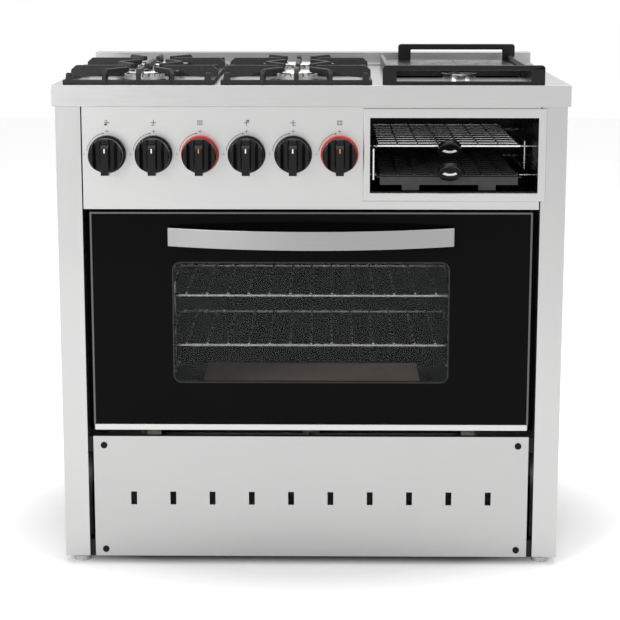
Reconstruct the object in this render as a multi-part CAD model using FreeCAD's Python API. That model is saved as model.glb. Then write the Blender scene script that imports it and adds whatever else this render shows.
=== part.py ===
import FreeCAD, Part
import math
import os

from FreeCAD import Vector

# Free-standing gas range: four hob burners under two cast-iron grates, a lift-off griddle, an open grill
# compartment and one drop-down oven.  Millimetres.  X to the viewer's right, Y to the back, Z up.
# The origin lies on the floor, under the middle of the overall box.

# ---- overall sizes -------------------------------------------------------------------------------------
rim_width = 900.0            # over the hob's rim
rim_depth = 590.0            # front of the rim to its rear
hob_height = 870.0           # floor to the hob's surface
rim_height = 37.0            # front band of the rim
rim_overhang = 5.0           # rim proud of the body at the front and sides
wall_gap = 30.0              # rim behind the body's back, for the gas inlet
sheet = 1.5                  # folded stainless sheet
liner_sheet = 1.2            # enamelled liner sheet
foot_clearance = 14.5        # floor to the underside of the body
running_gap = 0.3            # between loose pieces and what carries them
cut_past = 1.0               # how far a cutting shape runs past what it cuts
pick_tolerance = 0.1         # for picking edges by their place

# ---- body and rails ------------------------------------------------------------------------------------
post_width = 44.0            # front return of each side panel
post_return = 48.0           # how far that return is folded back
top_flange = 20.0            # inward flange at the top of a side panel
rim_front_flange = 38.0      # top flange of the rim, at the front
rim_side_flange = 12.0       # and at its sides and rear
rim_corner_radius = 1.4
hob_groove = 0.6             # joint line between rim and hob sheet
rail_depth = 30.0            # cross rails, front to back
rail_wall = 1.5
low_rail_height = 30.0
mid_rail_height = 28.0
side_rail_width = 38.0
foot_pad_radius = 15.5
foot_pad_height = 11.0
foot_pad_chamfer = 1.5
foot_stud_radius = 5.0
foot_stud_length = 26.0
foot_nut_radius = 10.0
foot_inset = 27.0            # foot centre from the body's front and back faces
foot_hole_clearance = 0.1
foot_shift = 6.0             # inwards from the middle of the side rail

# ---- backguard -----------------------------------------------------------------------------------------
backguard_width = 891.0
backguard_height = 24.0
backguard_depth = 36.0
backguard_ledge_depth = 49.0
backguard_ledge_height = 4.0

# ---- control panel and knobs ---------------------------------------------------------------------------
panel_bottom = 652.5
panel_edge_gap = 2.0         # panel to the post beside it
knob_pitch = 81.0
knob_count = 6
knob_group_x = -152.5        # middle of the row of knobs
knob_z = 750.0
knob_ring_radius = 33.0
knob_ring_bore = 21.0
knob_ring_height = 9.0
knob_ring_edge = 2.0
knob_radius = 30.0
knob_skirt = 26.0            # length of the round part
knob_bar_width = 14.0
knob_bar_rise = 9.0          # bar proud of the round part
knob_bar_top = 9.0           # upper end of the bar below the top of the round part
knob_bar_edge = 2.0
knob_tail = 3.0              # bar beyond the round part at its lower end
knob_scoop_radius = 7.5      # finger grooves beside the bar
knob_scoop_offset = 13.5     # their centres from the middle of the bar
knob_scoop_rise = 1.0        # and in front of the round part's face
knob_gap = 1.0               # ring to knob
knob_chamfer = 2.5
stem_radius = 4.0
stem_fit = 0.05              # radial running clearance of the knob on its stem
stem_insert = 18.0           # stem inside the knob
red_knobs = (2, 5)           # counted from the left, starting at 0: oven and griddle
valve_body_radius = 10.0
valve_length = 34.0
valve_hole_clearance = 1.0
valve_stem_root = 5.0        # stem inside the tap's body
manifold_radius = 11.0
manifold_bore = 8.5
manifold_lug_width = 12.0
manifold_lug_height = 8.0
manifold_seat = 2.0          # tap's body past the manifold's front
supply_radius = 4.0
supply_bend = 9.0            # radius of a supply pipe's bends, at its centre
inlet_collar_length = 40.0
inlet_bore = 6.0
inlet_radius = 10.48         # half-inch parallel pipe thread, outside
inlet_thread = 18.0
inlet_collar_radius = 15.0
inlet_hole_clearance = 1.0

# ---- grill compartment ---------------------------------------------------------------------------------
bezel_left = 91.0
bezel_right = 409.0
bezel_bottom = 667.5
bezel_top = 830.0
bezel_frame = 11.8           # width of its left member
bezel_frame_right = 13.8
bezel_frame_top = 16.5
bezel_frame_bottom = 14.3
bezel_proud = 4.0
bezel_chamfer = 1.2
chamber_side_gap = 4.0       # liner outside the bezel's opening
chamber_depth = 400.0
chamber_roof_z = 818.0
chamber_floor_z = 677.0
grill_wire_radius = 2.5
grill_mesh_radius = 1.5
grill_rack_z = 762.0
grill_rack_front = 30.0      # behind the front of the rim
grill_rack_depth = 368.0
grill_rack_cross_wires = 10
grill_rack_long_wires = 7
grill_ledge_left = 18.0      # ledge wires from the liner's left wall
grill_ledge_right = 33.0     # and from its right wall
grill_loop_inset = 10.0      # upright loop from the liner's wall
grill_loop_fronts = (14.0, 150.0)   # upright of the left and of the right loop, behind the front of the rim
grill_stub_inset = 60.0      # first stub behind the front end of the rails
grill_stub_rear = 30.0       # and last one before their rear end
tray_flange_z = 708.0
tray_flange_width = 6.0
tray_flange_lap = 2.0        # flange over its wire, from the wire's centre
tray_depth = 382.0
tray_front = 14.0
tray_height = 13.0
tray_grid_pitch = 28.0
tray_tab_width = 20.0
tray_tab_height = 24.0
tray_foot_width = 30.0       # feet under the tray's front corners
tray_foot_depth = 20.0
tray_foot_x = 67.0           # their centres from the tray's middle
tray_foot_gap = 1.5          # over the lip of the compartment's floor
floor_lip_height = 7.0       # upturned front edge of that floor
pull_radius = 21.0
pull_length = 10.0
pull_edge = 2.0
pull_neck_radius = 6.0
pull_tilt = 45.0             # below the horizontal, degrees
rack_pull_z = 755.0
tray_pull_z = 717.0
rack_pull_front = 6.0
tray_pull_front = -9.5

# ---- oven ----------------------------------------------------------------------------------------------
door_bottom = 252.0
door_top = 647.5
door_half_width = 389.0
door_depth = 38.0
door_edge = 3.5              # metal edge seen round the glass
door_glass = 5.0
glass_setback = 0.5          # glass behind the door's front edge
door_trim_height = 10.6
door_trim_proud = 1.0
door_trim_inset = 2.0        # its ends inside the door's sides
inner_glass = 4.5
inner_glass_lap = 12.0
window_half_width = 244.0
window_bottom = 340.0
window_top = 557.5
window_radius = 14.0
window_tunnel = 6.0          # opening in the frame wider than the clear window
glass_ledge = 12.0
seal_thickness = 8.0
seal_width = 8.0
seal_inset = 2.0             # seal outside the oven's mouth
seal_drop = 1.0              # below the oven's floor
hinge_back = 18.0            # hinge axis behind the door's front
hinge_up = 13.0              # hinge axis above the door's lower edge
hinge_x = 333.0
hinge_arm_thickness = 6.0
hinge_arm_gap = 1.0
hinge_pin_radius = 4.0
hinge_pin_fit = 0.05
hinge_knuckle_radius = 9.0
hinge_arm_top = 65.0         # top of the door's hinge arm above the axis
hinge_notch_height = 22.0    # top of the door's notch above the axis
hinge_notch_gap = 2.0        # notch outside the hinge's cheeks
handle_half_length = 251.0
handle_height = 33.0
handle_thickness = 4.0
handle_z = 605.5
handle_stand_off = 59.0      # front of the bow in front of the door
handle_sagitta = 44.0
handle_post_x = 222.0
handle_post_radius = 8.0
cavity_half_width = 272.0
cavity_top = 600.0
cavity_floor = 275.0
cavity_back = 380.0          # behind the front of the rim
liner_bottom = 180.0
insulation_thickness = 25.0
rack_wire_radius = 3.0
rack_rod_radius = 1.8
rack_ledge_inset = 1.0       # ledge wire's centre outside the rack's side wire
rack_levels = (488.0, 396.0)
rack_front = 58.0
rack_depth = 290.0
rack_rod_pitch = 40.0
rack_side_gap = 10.0         # rack's side wire from the liner's wall
ladder_stub_radius = 2.2
ladder_low_z = 300.0
ladder_top_z = 560.0
ladder_posts = (95.0, 315.0)
stone_half_width = 208.0
stone_front = 64.0
stone_depth = 300.0
stone_thickness = 12.0
stone_chamfer = 1.5
floor_slot_width = 14.0
floor_slot_x = 229.0         # middle of the heat slots beside the stone
floor_slots = ((93.0, 307.0), (322.0, 335.0))   # ends behind the front, with a bridge between
oven_burner_radius = 15.0
oven_burner_bore = 13.0
oven_burner_z = 222.0
oven_burner_front = 100.0
oven_burner_length = 250.0
oven_burner_end = 3.0        # closed ends of the pipe
oven_burner_bar_width = 20.0 # cross bars under it
oven_burner_bar_inset = 40.0
oven_burner_bar = 3.0
oven_port_pitch = 20.0
oven_port_inset = 15.0
port_radius = 1.5

# ---- lower panel ---------------------------------------------------------------------------------------
lower_half_width = 391.0
lower_top = 240.0
lower_flange = 10.0
vent_count = 10
vent_pitch = 71.0
vent_width = 10.4
vent_height = 24.0
vent_z = 124.0
fastener_radius = 6.0
fastener_head = 2.0
fastener_edge = 1.2
fastener_shank_radius = 2.5
fastener_shank = 8.0
fastener_x = 372.0
fastener_inset = 13.0        # from the panel's lower edge
fastener_top_inset = 17.0    # from its upper edge

# ---- hob burners and grates ----------------------------------------------------------------------------
grate_width = 263.0
grate_left_x = -299.5
grate_middle_x = -25.5
grate_front = 8.0
grate_depth = 432.0
grate_bar = 9.0
grate_bar_height = 8.5
grate_support = 27.0         # height of the pan supports over the hob
grate_corner = 20.5          # height of the horns near the frame's corners
grate_horn_inset = 4.0       # horn from the frame's end, at its foot
grate_horn_foot = 14.0
grate_horn_tip = 9.0
grate_finger = 8.0
grate_finger_depth = 9.5
grate_finger_slope = 8.0     # rounded shoulder where a finger turns level
grate_finger_tip = 2.0       # lower edge of its tip
grate_finger_web = 6.0       # fillet under the shoulder
grate_splay = 60.0           # side fingers from the middle one, at the bar
grate_splay_tip = 25.0       # and at their tips
grate_fin_root = 6.0         # underside of a side fin at its root
grate_fin_shoulder = 9.0
grate_fin_level = 20.0       # length of its deep part
grate_fin_rise = 45.0        # where its underside has come up
grate_fin_taper = 30.0       # and its tapered end
grate_fin_foot = 18.0        # thickness at its underside
side_finger_gap = 10.0       # side fingers end further from the burner
burner_clear_radius = 34.0   # finger tips from the burner's centre
burner_hole_radius = 42.0
burner_cup_radius = 40.0
burner_cup_flange = 55.0
burner_cup_depth = 34.0
burner_cup_flange_height = 3.0
burner_cup_lip = 6.0         # mouth of the cup wider than its wall
burner_cup_edge = 0.8
burner_head_radius = 36.0
burner_head_height = 9.0
burner_cap_radius = 33.0
burner_cap_height = 5.0
burner_bore_radius = 14.0
burner_tube_wall = 3.0
burner_head_wall = 6.0
burner_head_floor = 3.0
burner_ports = 20
burner_port_width = 2.2
burner_port_depth = 3.5
burner_cap_edge = 2.5

# ---- griddle -------------------------------------------------------------------------------------------
griddle_x = 264.5
griddle_width = 260.0        # frame, over its side rails
front_handle_width = 281.0
griddle_front = 8.0
griddle_length = 458.0
griddle_rail = 7.0
griddle_rail_height = 25.0
griddle_rear_height = 12.0
griddle_cross_front = 182.0  # cross bar in front of the plates, behind the front of the rim
griddle_lip_height = 20.0    # top of that cross bar over the hob
griddle_ledge = 9.0
griddle_ledge_height = 8.0
griddle_foot_gap = 3.0       # cross bar over the hob
griddle_plate = 7.0
griddle_seam_x = 276.0
griddle_seam = 1.0
griddle_plate_gap = 2.0
griddle_plate_chamfer = 1.0
handle_plate = 7.0           # thickness of the flat carrying handles
front_handle_height = 34.0
front_handle_leg = 24.0
front_handle_sill = 6.5
front_handle_bar = 9.0
rear_handle_width = 232.0
rear_handle_x = 286.5
rear_handle_height = 46.0
rear_handle_bar = 11.0
rear_handle_leg = 25.0
handle_corner_radius = 6.0
griddle_burner_radius = 12.0
griddle_burner_bore = 10.0
griddle_burner_drop = 27.0   # its axis below the hob
griddle_burner_offset = 62.0
griddle_burner_inset = 10.0  # pipe ends from the hob's opening
griddle_burner_end = 3.0
griddle_feed_inset = 30.0
griddle_strap_width = 16.0
griddle_strap_lap = 15.0     # strap past the roof's opening
griddle_strap_cover = 3.0    # strap over the pipe's underside
griddle_ports = 10
griddle_port_inset = 22.0
hob_window_margin = 20.0     # hob opening inside the griddle's frame
cup_ring_radius = 31.0
cup_ring_height = 13.0
cup_pot_radius = 27.5
cup_wall = 1.5
cup_depth = 28.0
cup_y = 115.0                # behind the front of the rim
cup_clearance = 0.6

# ---- places worked out from the sizes ------------------------------------------------------------------
handle_reach = handle_stand_off - rim_overhang
knob_length = knob_gap + knob_ring_height + knob_skirt + knob_bar_rise
reach = max(handle_reach, knob_length - rim_overhang)
front = reach - (rim_depth + reach) / 2      # front of the rim
rear = front + rim_depth
face = front + rim_overhang                  # front of posts, panel and door
back = rear - wall_gap                       # outside of the back panel
body_half = rim_width / 2 - rim_overhang
side_inner = body_half - sheet
post_inner = body_half - post_width
rim_bottom = hob_height - rim_height
deck = hob_height - sheet                    # underside of the hob sheet
knob_xs = [knob_group_x + (i - (knob_count - 1) / 2) * knob_pitch for i in range(knob_count)]
frame_y = face + door_depth + seal_thickness  # front of the oven's front frame
hinge_y = face + hinge_back
hinge_z = door_bottom + hinge_up
chamber_left = bezel_left + bezel_frame - chamber_side_gap
chamber_right = bezel_right - bezel_frame_right + chamber_side_gap
grate_rear = grate_front + grate_depth
burner_ys = (front + grate_front + grate_depth / 4, front + grate_front + grate_depth * 3 / 4)
burner_places = [(x, y) for x in (grate_left_x, grate_middle_x) for y in burner_ys]
valve_back = face + sheet + valve_hole_clearance + valve_length
manifold_y = valve_back + manifold_radius - manifold_seat
manifold_left = knob_xs[0] - knob_pitch / 2
manifold_right = knob_xs[-1] + knob_pitch / 3


# ---- shape helpers -------------------------------------------------------------------------------------
def block(xs, ys, zs):
    """A box between pairs of coordinates."""
    size = (abs(xs[1] - xs[0]), abs(ys[1] - ys[0]), abs(zs[1] - zs[0]))
    return Part.makeBox(*size, Vector(min(xs), min(ys), min(zs)))


def rod(start, end, radius):
    """A round bar between two points."""
    a, b = Vector(*start), Vector(*end)
    return Part.makeCylinder(radius, (b - a).Length, a, b - a)


def fuse(shapes):
    """One solid from touching or overlapping shapes."""
    first, *others = shapes
    return first.multiFuse(others).removeSplitter() if others else first


def mirrored(shape):
    """The same shape on the other side of the middle plane."""
    return shape.mirror(Vector(0, 0, 0), Vector(1, 0, 0))


def prism(points, push):
    """A flat outline pushed along a vector."""
    outline = [Vector(*p) for p in points]
    return Part.Face(Part.makePolygon(outline + outline[:1])).extrude(Vector(*push))


def tube_frame(xs, ys, zs, wall, along):
    """A square tube whose open ends look along one axis."""
    inner = [list(xs), list(ys), list(zs)]
    for axis, pair in enumerate(inner):
        if axis != along:
            pair[0], pair[1] = min(pair) + wall, max(pair) - wall
    return block(xs, ys, zs).cut(block(*inner))


def bent_rod(points, radius):
    """A round bar along straight runs, with a ball at each bend."""
    runs = [rod(a, b, radius) for a, b in zip(points, points[1:])]
    balls = [Part.makeSphere(radius, Vector(*p)) for p in points[1:-1]]
    return fuse(runs + balls)


def bent_pipe(points, radius, bend):
    """A round pipe along straight runs that meet at right angles, with a round bend between each two."""
    points = [Vector(*p) for p in points]
    path, start = [], points[0]
    for before, corner, after in zip(points, points[1:], points[2:]):
        back_way = (before - corner).normalize()
        onward = (after - corner).normalize()
        centre = corner + (back_way + onward) * bend
        middle = centre - (back_way + onward).normalize() * bend
        path.append(Part.makeLine(start, corner + back_way * bend))
        path.append(Part.Arc(corner + back_way * bend, middle, corner + onward * bend).toShape())
        start = corner + onward * bend
    path.append(Part.makeLine(start, points[-1]))
    section = Part.Wire(Part.makeCircle(radius, points[0], points[1] - points[0]))
    return Part.Wire(path).makePipeShell([section], True, False)


def rounded_plate(xs, ys, zs, radius, corners="all"):
    """An upright plate, thin along Y, with rounded corners seen from the front."""
    plate = block(xs, ys, zs)
    edges = []
    for edge in plate.Edges:
        a, b = edge.Vertexes[0].Point, edge.Vertexes[1].Point
        upright = abs(a.x - b.x) < 1e-6 and abs(a.z - b.z) < 1e-6
        if upright and (corners == "all" or a.z > (min(zs) + max(zs)) / 2):
            edges.append(edge)
    return plate.makeFillet(radius, edges)


def edges_at(shape, axis, place):
    """Edges of a shape that lie at one place along an axis: 0 for X, 1 for Y, 2 for Z."""
    picked = []
    for edge in shape.Edges:
        box = edge.BoundBox
        low, high = ((box.XMin, box.XMax), (box.YMin, box.YMax), (box.ZMin, box.ZMax))[axis]
        if abs(low - place) < pick_tolerance and abs(high - place) < pick_tolerance:
            picked.append(edge)
    return picked


def save(node, *solids):
    """Write one node: a single solid, or a group of separate ones."""
    shape = solids[0] if len(solids) == 1 else Part.makeCompound(list(solids))
    if not shape.isValid():
        raise ValueError(node + " is not a valid shape")
    shape.exportStep(os.path.join("parts", node + ".step"))


# ---- body shell ----------------------------------------------------------------------------------------
def side_panel():
    """Right-hand side sheet with its folded front post and top flange."""
    side = block((side_inner, body_half), (face, back - sheet), (foot_clearance, deck))
    post = block((post_inner, body_half), (face, face + sheet), (foot_clearance, rim_bottom))
    fold = block((post_inner, post_inner + sheet), (face, face + post_return), (foot_clearance, rim_bottom))
    top = block((body_half - top_flange, body_half), (face + sheet, back - sheet), (deck - sheet, deck))
    return fuse([side, post, fold, top])


def rails():
    """Cross rails and side rails that carry the hob, the panels and the feet."""
    inner = post_inner
    low_inner = side_inner - side_rail_width
    top_half = body_half - top_flange
    y_front = (face + sheet, face + sheet + rail_depth)
    y_rear = (back - sheet - rail_depth, back - sheet)
    low = (foot_clearance, foot_clearance + low_rail_height)
    mid = (lower_top - sheet - mid_rail_height, lower_top - sheet)
    shapes = [
        tube_frame((-top_half, top_half), y_front, (rim_bottom, deck), rail_wall, 0),
        tube_frame((-top_half, top_half), y_rear, (rim_bottom, deck), rail_wall, 0),
        tube_frame((-inner, inner), (y_front[0], y_front[0] + rail_depth / 2), mid, rail_wall, 0),
        tube_frame((-inner, inner), y_front, low, rail_wall, 0),
        tube_frame((-low_inner, low_inner), y_rear, low, rail_wall, 0),
    ]
    side = tube_frame((side_inner - side_rail_width, side_inner), (y_front[0], y_rear[1]), low, rail_wall, 1)
    for y in foot_ys():
        hole = Part.makeCylinder(foot_stud_radius + foot_hole_clearance, low_rail_height / 2,
                                 Vector(foot_x(), y, foot_clearance - cut_past))
        side = side.cut(hole)
    return shapes + [side, mirrored(side)]


def foot_x():
    """Distance of the feet from the middle plane."""
    return side_inner - side_rail_width / 2 - foot_shift


def foot_ys():
    """Front and rear foot centres."""
    return (face + foot_inset, back - foot_inset)


def feet():
    """Four levelling feet: pad, lock nut and stud, each one solid."""
    shapes = []
    for x in (-foot_x(), foot_x()):
        for y in foot_ys():
            pad = Part.makeCylinder(foot_pad_radius, foot_pad_height, Vector(x, y, 0))
            pad = pad.makeChamfer(foot_pad_chamfer, edges_at(pad, 2, foot_pad_height))
            nut_corners = [(x + foot_nut_radius * math.cos(math.radians(60 * i)),
                            y + foot_nut_radius * math.sin(math.radians(60 * i)), foot_pad_height)
                           for i in range(6)]
            nut = prism(nut_corners, (0, 0, foot_clearance - foot_pad_height))
            stud = Part.makeCylinder(foot_stud_radius, foot_stud_length, Vector(x, y, foot_pad_height))
            shapes.append(fuse([pad, nut, stud]))
    return shapes


def back_panel():
    """Rear sheet with louvre slots and the hole for the gas inlet."""
    panel = block((-body_half, body_half), (back - sheet, back), (foot_clearance, deck))
    inlet = rod((inlet_x(), back - 2 * sheet, knob_z), (inlet_x(), back + sheet, knob_z),
                inlet_radius + inlet_hole_clearance)
    return panel.cut(inlet)


def inlet_x():
    """The inlet pipe leaves the manifold near its left end."""
    return manifold_left + 2 * manifold_radius


def hob_rim():
    """Folded band round the hob with its top flange and bottom return."""
    half = rim_width / 2
    band = block((-half, half), (front, rear), (rim_bottom, hob_height))
    band = band.cut(block((-half + sheet, half - sheet), (front + sheet, rear - sheet), (rim_bottom, deck)))
    opening = block((-half + rim_side_flange, half - rim_side_flange),
                    (front + rim_front_flange, rear - rim_side_flange),
                    (deck - cut_past, hob_height + cut_past))
    band = band.cut(opening)
    lower = block((-half + sheet, half - sheet), (front + sheet, rear - sheet),
                  (rim_bottom, rim_bottom + sheet))
    inside = block((-body_half, body_half), (face, back), (rim_bottom - cut_past, rim_bottom + 2 * sheet))
    lower = lower.cut(inside)
    ring = fuse([band, lower])
    upright = [e for e in edges_at(ring, 1, front) if abs(e.Length - rim_height) < pick_tolerance]
    return ring.makeFillet(rim_corner_radius, upright)


def hob_sheet():
    """Flat hob sheet with the burner holes, the griddle opening and the grease cup's hole."""
    half = rim_width / 2 - rim_side_flange - hob_groove
    plate = block((-half, half), (front + rim_front_flange + hob_groove, rear - rim_side_flange - hob_groove),
                  (deck, hob_height))
    for x, y in burner_places:
        plate = plate.cut(Part.makeCylinder(burner_hole_radius, 2 * sheet, Vector(x, y, deck - sheet / 2)))
    left, right, y0, y1 = griddle_window()
    plate = plate.cut(block((left, right), (y0, y1), (deck - cut_past, hob_height + cut_past)))
    hole = cup_pot_radius + cup_clearance
    return plate.cut(Part.makeCylinder(hole, 2 * sheet, Vector(griddle_x, front + cup_y, deck - sheet / 2)))


def griddle_window():
    """Opening in the hob under the griddle plates: left, right, front and back."""
    half = griddle_width / 2 - hob_window_margin
    window_front = front + griddle_cross_front + hob_window_margin
    window_back = front + griddle_front + griddle_length - hob_window_margin
    return griddle_x - half, griddle_x + half, window_front, window_back


def backguard():
    """Low folded upstand along the back, with a ledge in front of it."""
    half = backguard_width / 2
    y0 = rear - backguard_depth
    top = hob_height + backguard_height
    box = block((-half, half), (y0, rear), (hob_height, top))
    box = box.cut(block((-half + sheet, half - sheet), (y0 + sheet, rear - sheet),
                        (hob_height - cut_past, top - sheet)))
    ledge_top = hob_height + backguard_ledge_height
    ledge = block((-half, half), (y0 - backguard_ledge_depth, y0), (hob_height, ledge_top))
    return fuse([box, ledge])


def control_panel():
    """Front sheet with the valve holes, the compartment's opening and folded edges."""
    half = post_inner - panel_edge_gap
    panel = block((-half, half), (face, face + sheet), (panel_bottom, rim_bottom))
    lower = block((-half, half), (face, frame_y), (panel_bottom, panel_bottom + sheet))
    upper = block((-half, half), (face, face + rail_depth), (rim_bottom - sheet, rim_bottom))
    opening_x, opening_z = bezel_opening()
    opening = block(opening_x, (face - cut_past, face + 2 * sheet), opening_z)
    panel = fuse([panel, lower, upper]).cut(opening)
    roof = block((chamber_left - cut_past, chamber_right + cut_past),
                 (face + 2 * sheet, face + 2 * rail_depth), (rim_bottom - 2 * sheet, rim_bottom + cut_past))
    panel = panel.cut(roof)
    hole = stem_radius + valve_hole_clearance
    for x in knob_xs:
        panel = panel.cut(rod((x, face - cut_past, knob_z), (x, face + 2 * sheet, knob_z), hole))
    return panel


def bezel_opening():
    """Opening of the grill compartment: its X and Z extents."""
    return ((bezel_left + bezel_frame, bezel_right - bezel_frame_right),
            (bezel_bottom + bezel_frame_bottom, bezel_top - bezel_frame_top))


def compartment_bezel():
    """Raised frame round the opening of the grill compartment."""
    outer = block((bezel_left, bezel_right), (face - bezel_proud, face), (bezel_bottom, bezel_top))
    outer = outer.makeChamfer(bezel_chamfer, edges_at(outer, 1, face - bezel_proud))
    opening_x, opening_z = bezel_opening()
    return outer.cut(block(opening_x, (face - 2 * bezel_proud, face + cut_past), opening_z))


# ---- grill compartment ---------------------------------------------------------------------------------
def chamber_span():
    """Front and back of the compartment's liner."""
    return face + sheet, face + sheet + chamber_depth


def compartment_liner():
    """Five plates: two sides, floor with a lip at its front, back, and roof open under the griddle burner."""
    y0, y1 = chamber_span()
    outer_left, outer_right = chamber_left - liner_sheet, chamber_right + liner_sheet
    inside_x, outside_x = (chamber_left, chamber_right), (outer_left, outer_right)
    underside = chamber_floor_z - liner_sheet
    floor = block(inside_x, (y0, y1), (underside, chamber_floor_z))
    lip = block(inside_x, (y0, y0 + liner_sheet), (chamber_floor_z, chamber_floor_z + floor_lip_height))
    floor = fuse([floor, lip])
    sides = [block(xs, (y0, y1), (underside, chamber_roof_z))
             for xs in ((outer_left, chamber_left), (chamber_right, outer_right))]
    rear_plate = block(outside_x, (y1, y1 + liner_sheet), (underside, chamber_roof_z))
    roof = block(outside_x, (y0, y1 + liner_sheet), (chamber_roof_z, chamber_roof_z + liner_sheet))
    left, right, win_front, win_back = griddle_window()
    win_back = min(win_back, y1 - hob_window_margin)
    roof = roof.cut(block((left, right), (win_front, win_back),
                          (chamber_roof_z - cut_past, chamber_roof_z + liner_sheet + cut_past)))
    return [floor, sides[0], sides[1], rear_plate, roof]


def ledge_x(side):
    """Ledge wire of the compartment's left (-1) or right (+1) wall."""
    return chamber_left + grill_ledge_left if side < 0 else chamber_right - grill_ledge_right


def ledge_heights():
    """Wire centres under the tray's flange and under the rack's side wires."""
    lower = tray_flange_z - grill_wire_radius - running_gap
    upper = grill_rack_z - 2 * grill_wire_radius - running_gap
    return lower, upper


def compartment_rails():
    """A chromed wire frame on each wall: an upright in a loop, two ledge wires and their stubs."""
    frames = []
    y0 = front + tray_front
    y1 = front + tray_front + tray_depth
    lower, upper = ledge_heights()
    for side, loop_front in zip((-1, 1), grill_loop_fronts):
        wall = chamber_left if side < 0 else chamber_right
        loop_x = wall - side * grill_loop_inset
        loop_y = front + loop_front
        x = ledge_x(side)
        loop = [(loop_x, y1, lower), (loop_x, loop_y, lower), (loop_x, loop_y, upper), (loop_x, y1, upper)]
        wires = [bent_rod(loop, grill_wire_radius)]
        for z in (lower, upper):
            wires.append(rod((x, y0 + grill_stub_inset, z), (x, y1, z), grill_wire_radius))
            for y in (y0 + grill_stub_inset, y1 - grill_stub_rear):
                wires.append(rod((wall, y, z), (x, y, z), grill_mesh_radius))
        frames.append(fuse(wires))
    return frames


def grill_rack():
    """Wire rack of the compartment: a mesh welded on a frame of thicker wire."""
    x0, x1 = ledge_x(-1), ledge_x(1)
    y0 = front + grill_rack_front
    y1 = y0 + grill_rack_depth
    z = grill_rack_z
    r = grill_wire_radius
    wires = [bent_rod([(x0, y1, z), (x0, y0, z), (x1, y0, z), (x1, y1, z)], r),
             rod((x0, y1, z), (x1, y1, z), r)]
    wires += [Part.makeSphere(r, Vector(x, y1, z)) for x in (x0, x1)]
    mesh_z = z + grill_mesh_radius / 2
    for i in range(1, grill_rack_cross_wires):
        y = y0 + grill_rack_depth * i / grill_rack_cross_wires
        wires.append(rod((x0, y, mesh_z), (x1, y, mesh_z), grill_mesh_radius))
    for i in range(1, grill_rack_long_wires):
        x = x0 + (x1 - x0) * i / grill_rack_long_wires
        wires.append(rod((x, y0, mesh_z), (x, y1, mesh_z), grill_mesh_radius))
    return fuse(wires)


def pull_axis():
    """Direction in which a pull knob's face looks."""
    angle = math.radians(pull_tilt)
    return Vector(0, -math.cos(angle), -math.sin(angle))


def pull_knob(face_y, face_z):
    """Round pull: a disc that looks forward and down, with its neck behind it."""
    x = (ledge_x(-1) + ledge_x(1)) / 2
    out = pull_axis()
    centre = Vector(x, face_y, face_z)
    body = Part.makeCylinder(pull_radius, pull_length, centre - out * pull_length, out)
    rim_edges = [e for e in body.Edges if e.Closed]
    return body.makeFillet(pull_edge, rim_edges), centre - out * pull_length


def grill_rack_pull():
    """Pull knob of the rack; its neck ends in a saddle on the rack's front wire."""
    body, root = pull_knob(front + rack_pull_front, rack_pull_z)
    wire_y = front + grill_rack_front
    target = Vector(root.x, wire_y, grill_rack_z)
    neck = Part.makeCylinder(pull_neck_radius, (target - root).Length, root, target - root)
    wire = rod((root.x - pull_radius, wire_y, grill_rack_z), (root.x + pull_radius, wire_y, grill_rack_z),
               grill_wire_radius)
    mesh = rod((root.x, wire_y - pull_radius, grill_rack_z + grill_mesh_radius / 2),
               (root.x, wire_y + pull_radius, grill_rack_z + grill_mesh_radius / 2), grill_mesh_radius)
    cut_off = block((root.x - pull_radius, root.x + pull_radius), (wire_y, wire_y + 2 * pull_radius),
                    (grill_rack_z - pull_radius, grill_rack_z + pull_radius))
    return fuse([body, neck]).cut(wire).cut(mesh).cut(cut_off)


def tray_box():
    """Inside plan of the drip tray: left, right, front, back, bottom, top."""
    left = ledge_x(-1) + tray_flange_width - tray_flange_lap
    right = ledge_x(1) - tray_flange_width + tray_flange_lap
    y0 = front + tray_front
    return left, right, y0, y0 + tray_depth, tray_flange_z - tray_height, tray_flange_z + liner_sheet


def drip_tray():
    """Pressed tray with side flanges, two feet under its front and a tab for the pull knob."""
    left, right, y0, y1, bottom, top = tray_box()
    pan = block((left, right), (y0, y1), (bottom, top))
    pan = pan.cut(block((left + liner_sheet, right - liner_sheet), (y0 + liner_sheet, y1 - liner_sheet),
                        (bottom + liner_sheet, top + cut_past)))
    flanges = [block((left - tray_flange_width, left), (y0, y1), (tray_flange_z, top)),
               block((right, right + tray_flange_width), (y0, y1), (tray_flange_z, top))]
    middle = (left + right) / 2
    tab = block((middle - tray_tab_width / 2, middle + tray_tab_width / 2), (y0, y0 + 2 * liner_sheet),
                (top - tray_height / 2, top + tray_tab_height))
    feet_bottom = chamber_floor_z + floor_lip_height + tray_foot_gap
    front_feet = [block((x - tray_foot_width / 2, x + tray_foot_width / 2), (y0, y0 + tray_foot_depth),
                        (feet_bottom, bottom + liner_sheet))
                  for x in (middle - tray_foot_x, middle + tray_foot_x)]
    return fuse([pan, tab] + flanges + front_feet)


def tray_grid():
    """Black wire grid lying on the tray's rim."""
    left, right, y0, y1, _, top = tray_box()
    z = top + grill_mesh_radius
    y0 = y0 + 4 * liner_sheet
    wires = []
    count_y = int((y1 - y0) / tray_grid_pitch)
    for i in range(count_y + 1):
        y = y0 + grill_mesh_radius + (y1 - y0 - 2 * grill_mesh_radius) * i / count_y
        wires.append(rod((left, y, z), (right, y, z), grill_mesh_radius))
    count_x = int((right - left) / tray_grid_pitch)
    for i in range(count_x + 1):
        x = left + grill_mesh_radius + (right - left - 2 * grill_mesh_radius) * i / count_x
        wires.append(rod((x, y0, z + grill_mesh_radius), (x, y1, z + grill_mesh_radius), grill_mesh_radius))
    return fuse(wires)


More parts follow.
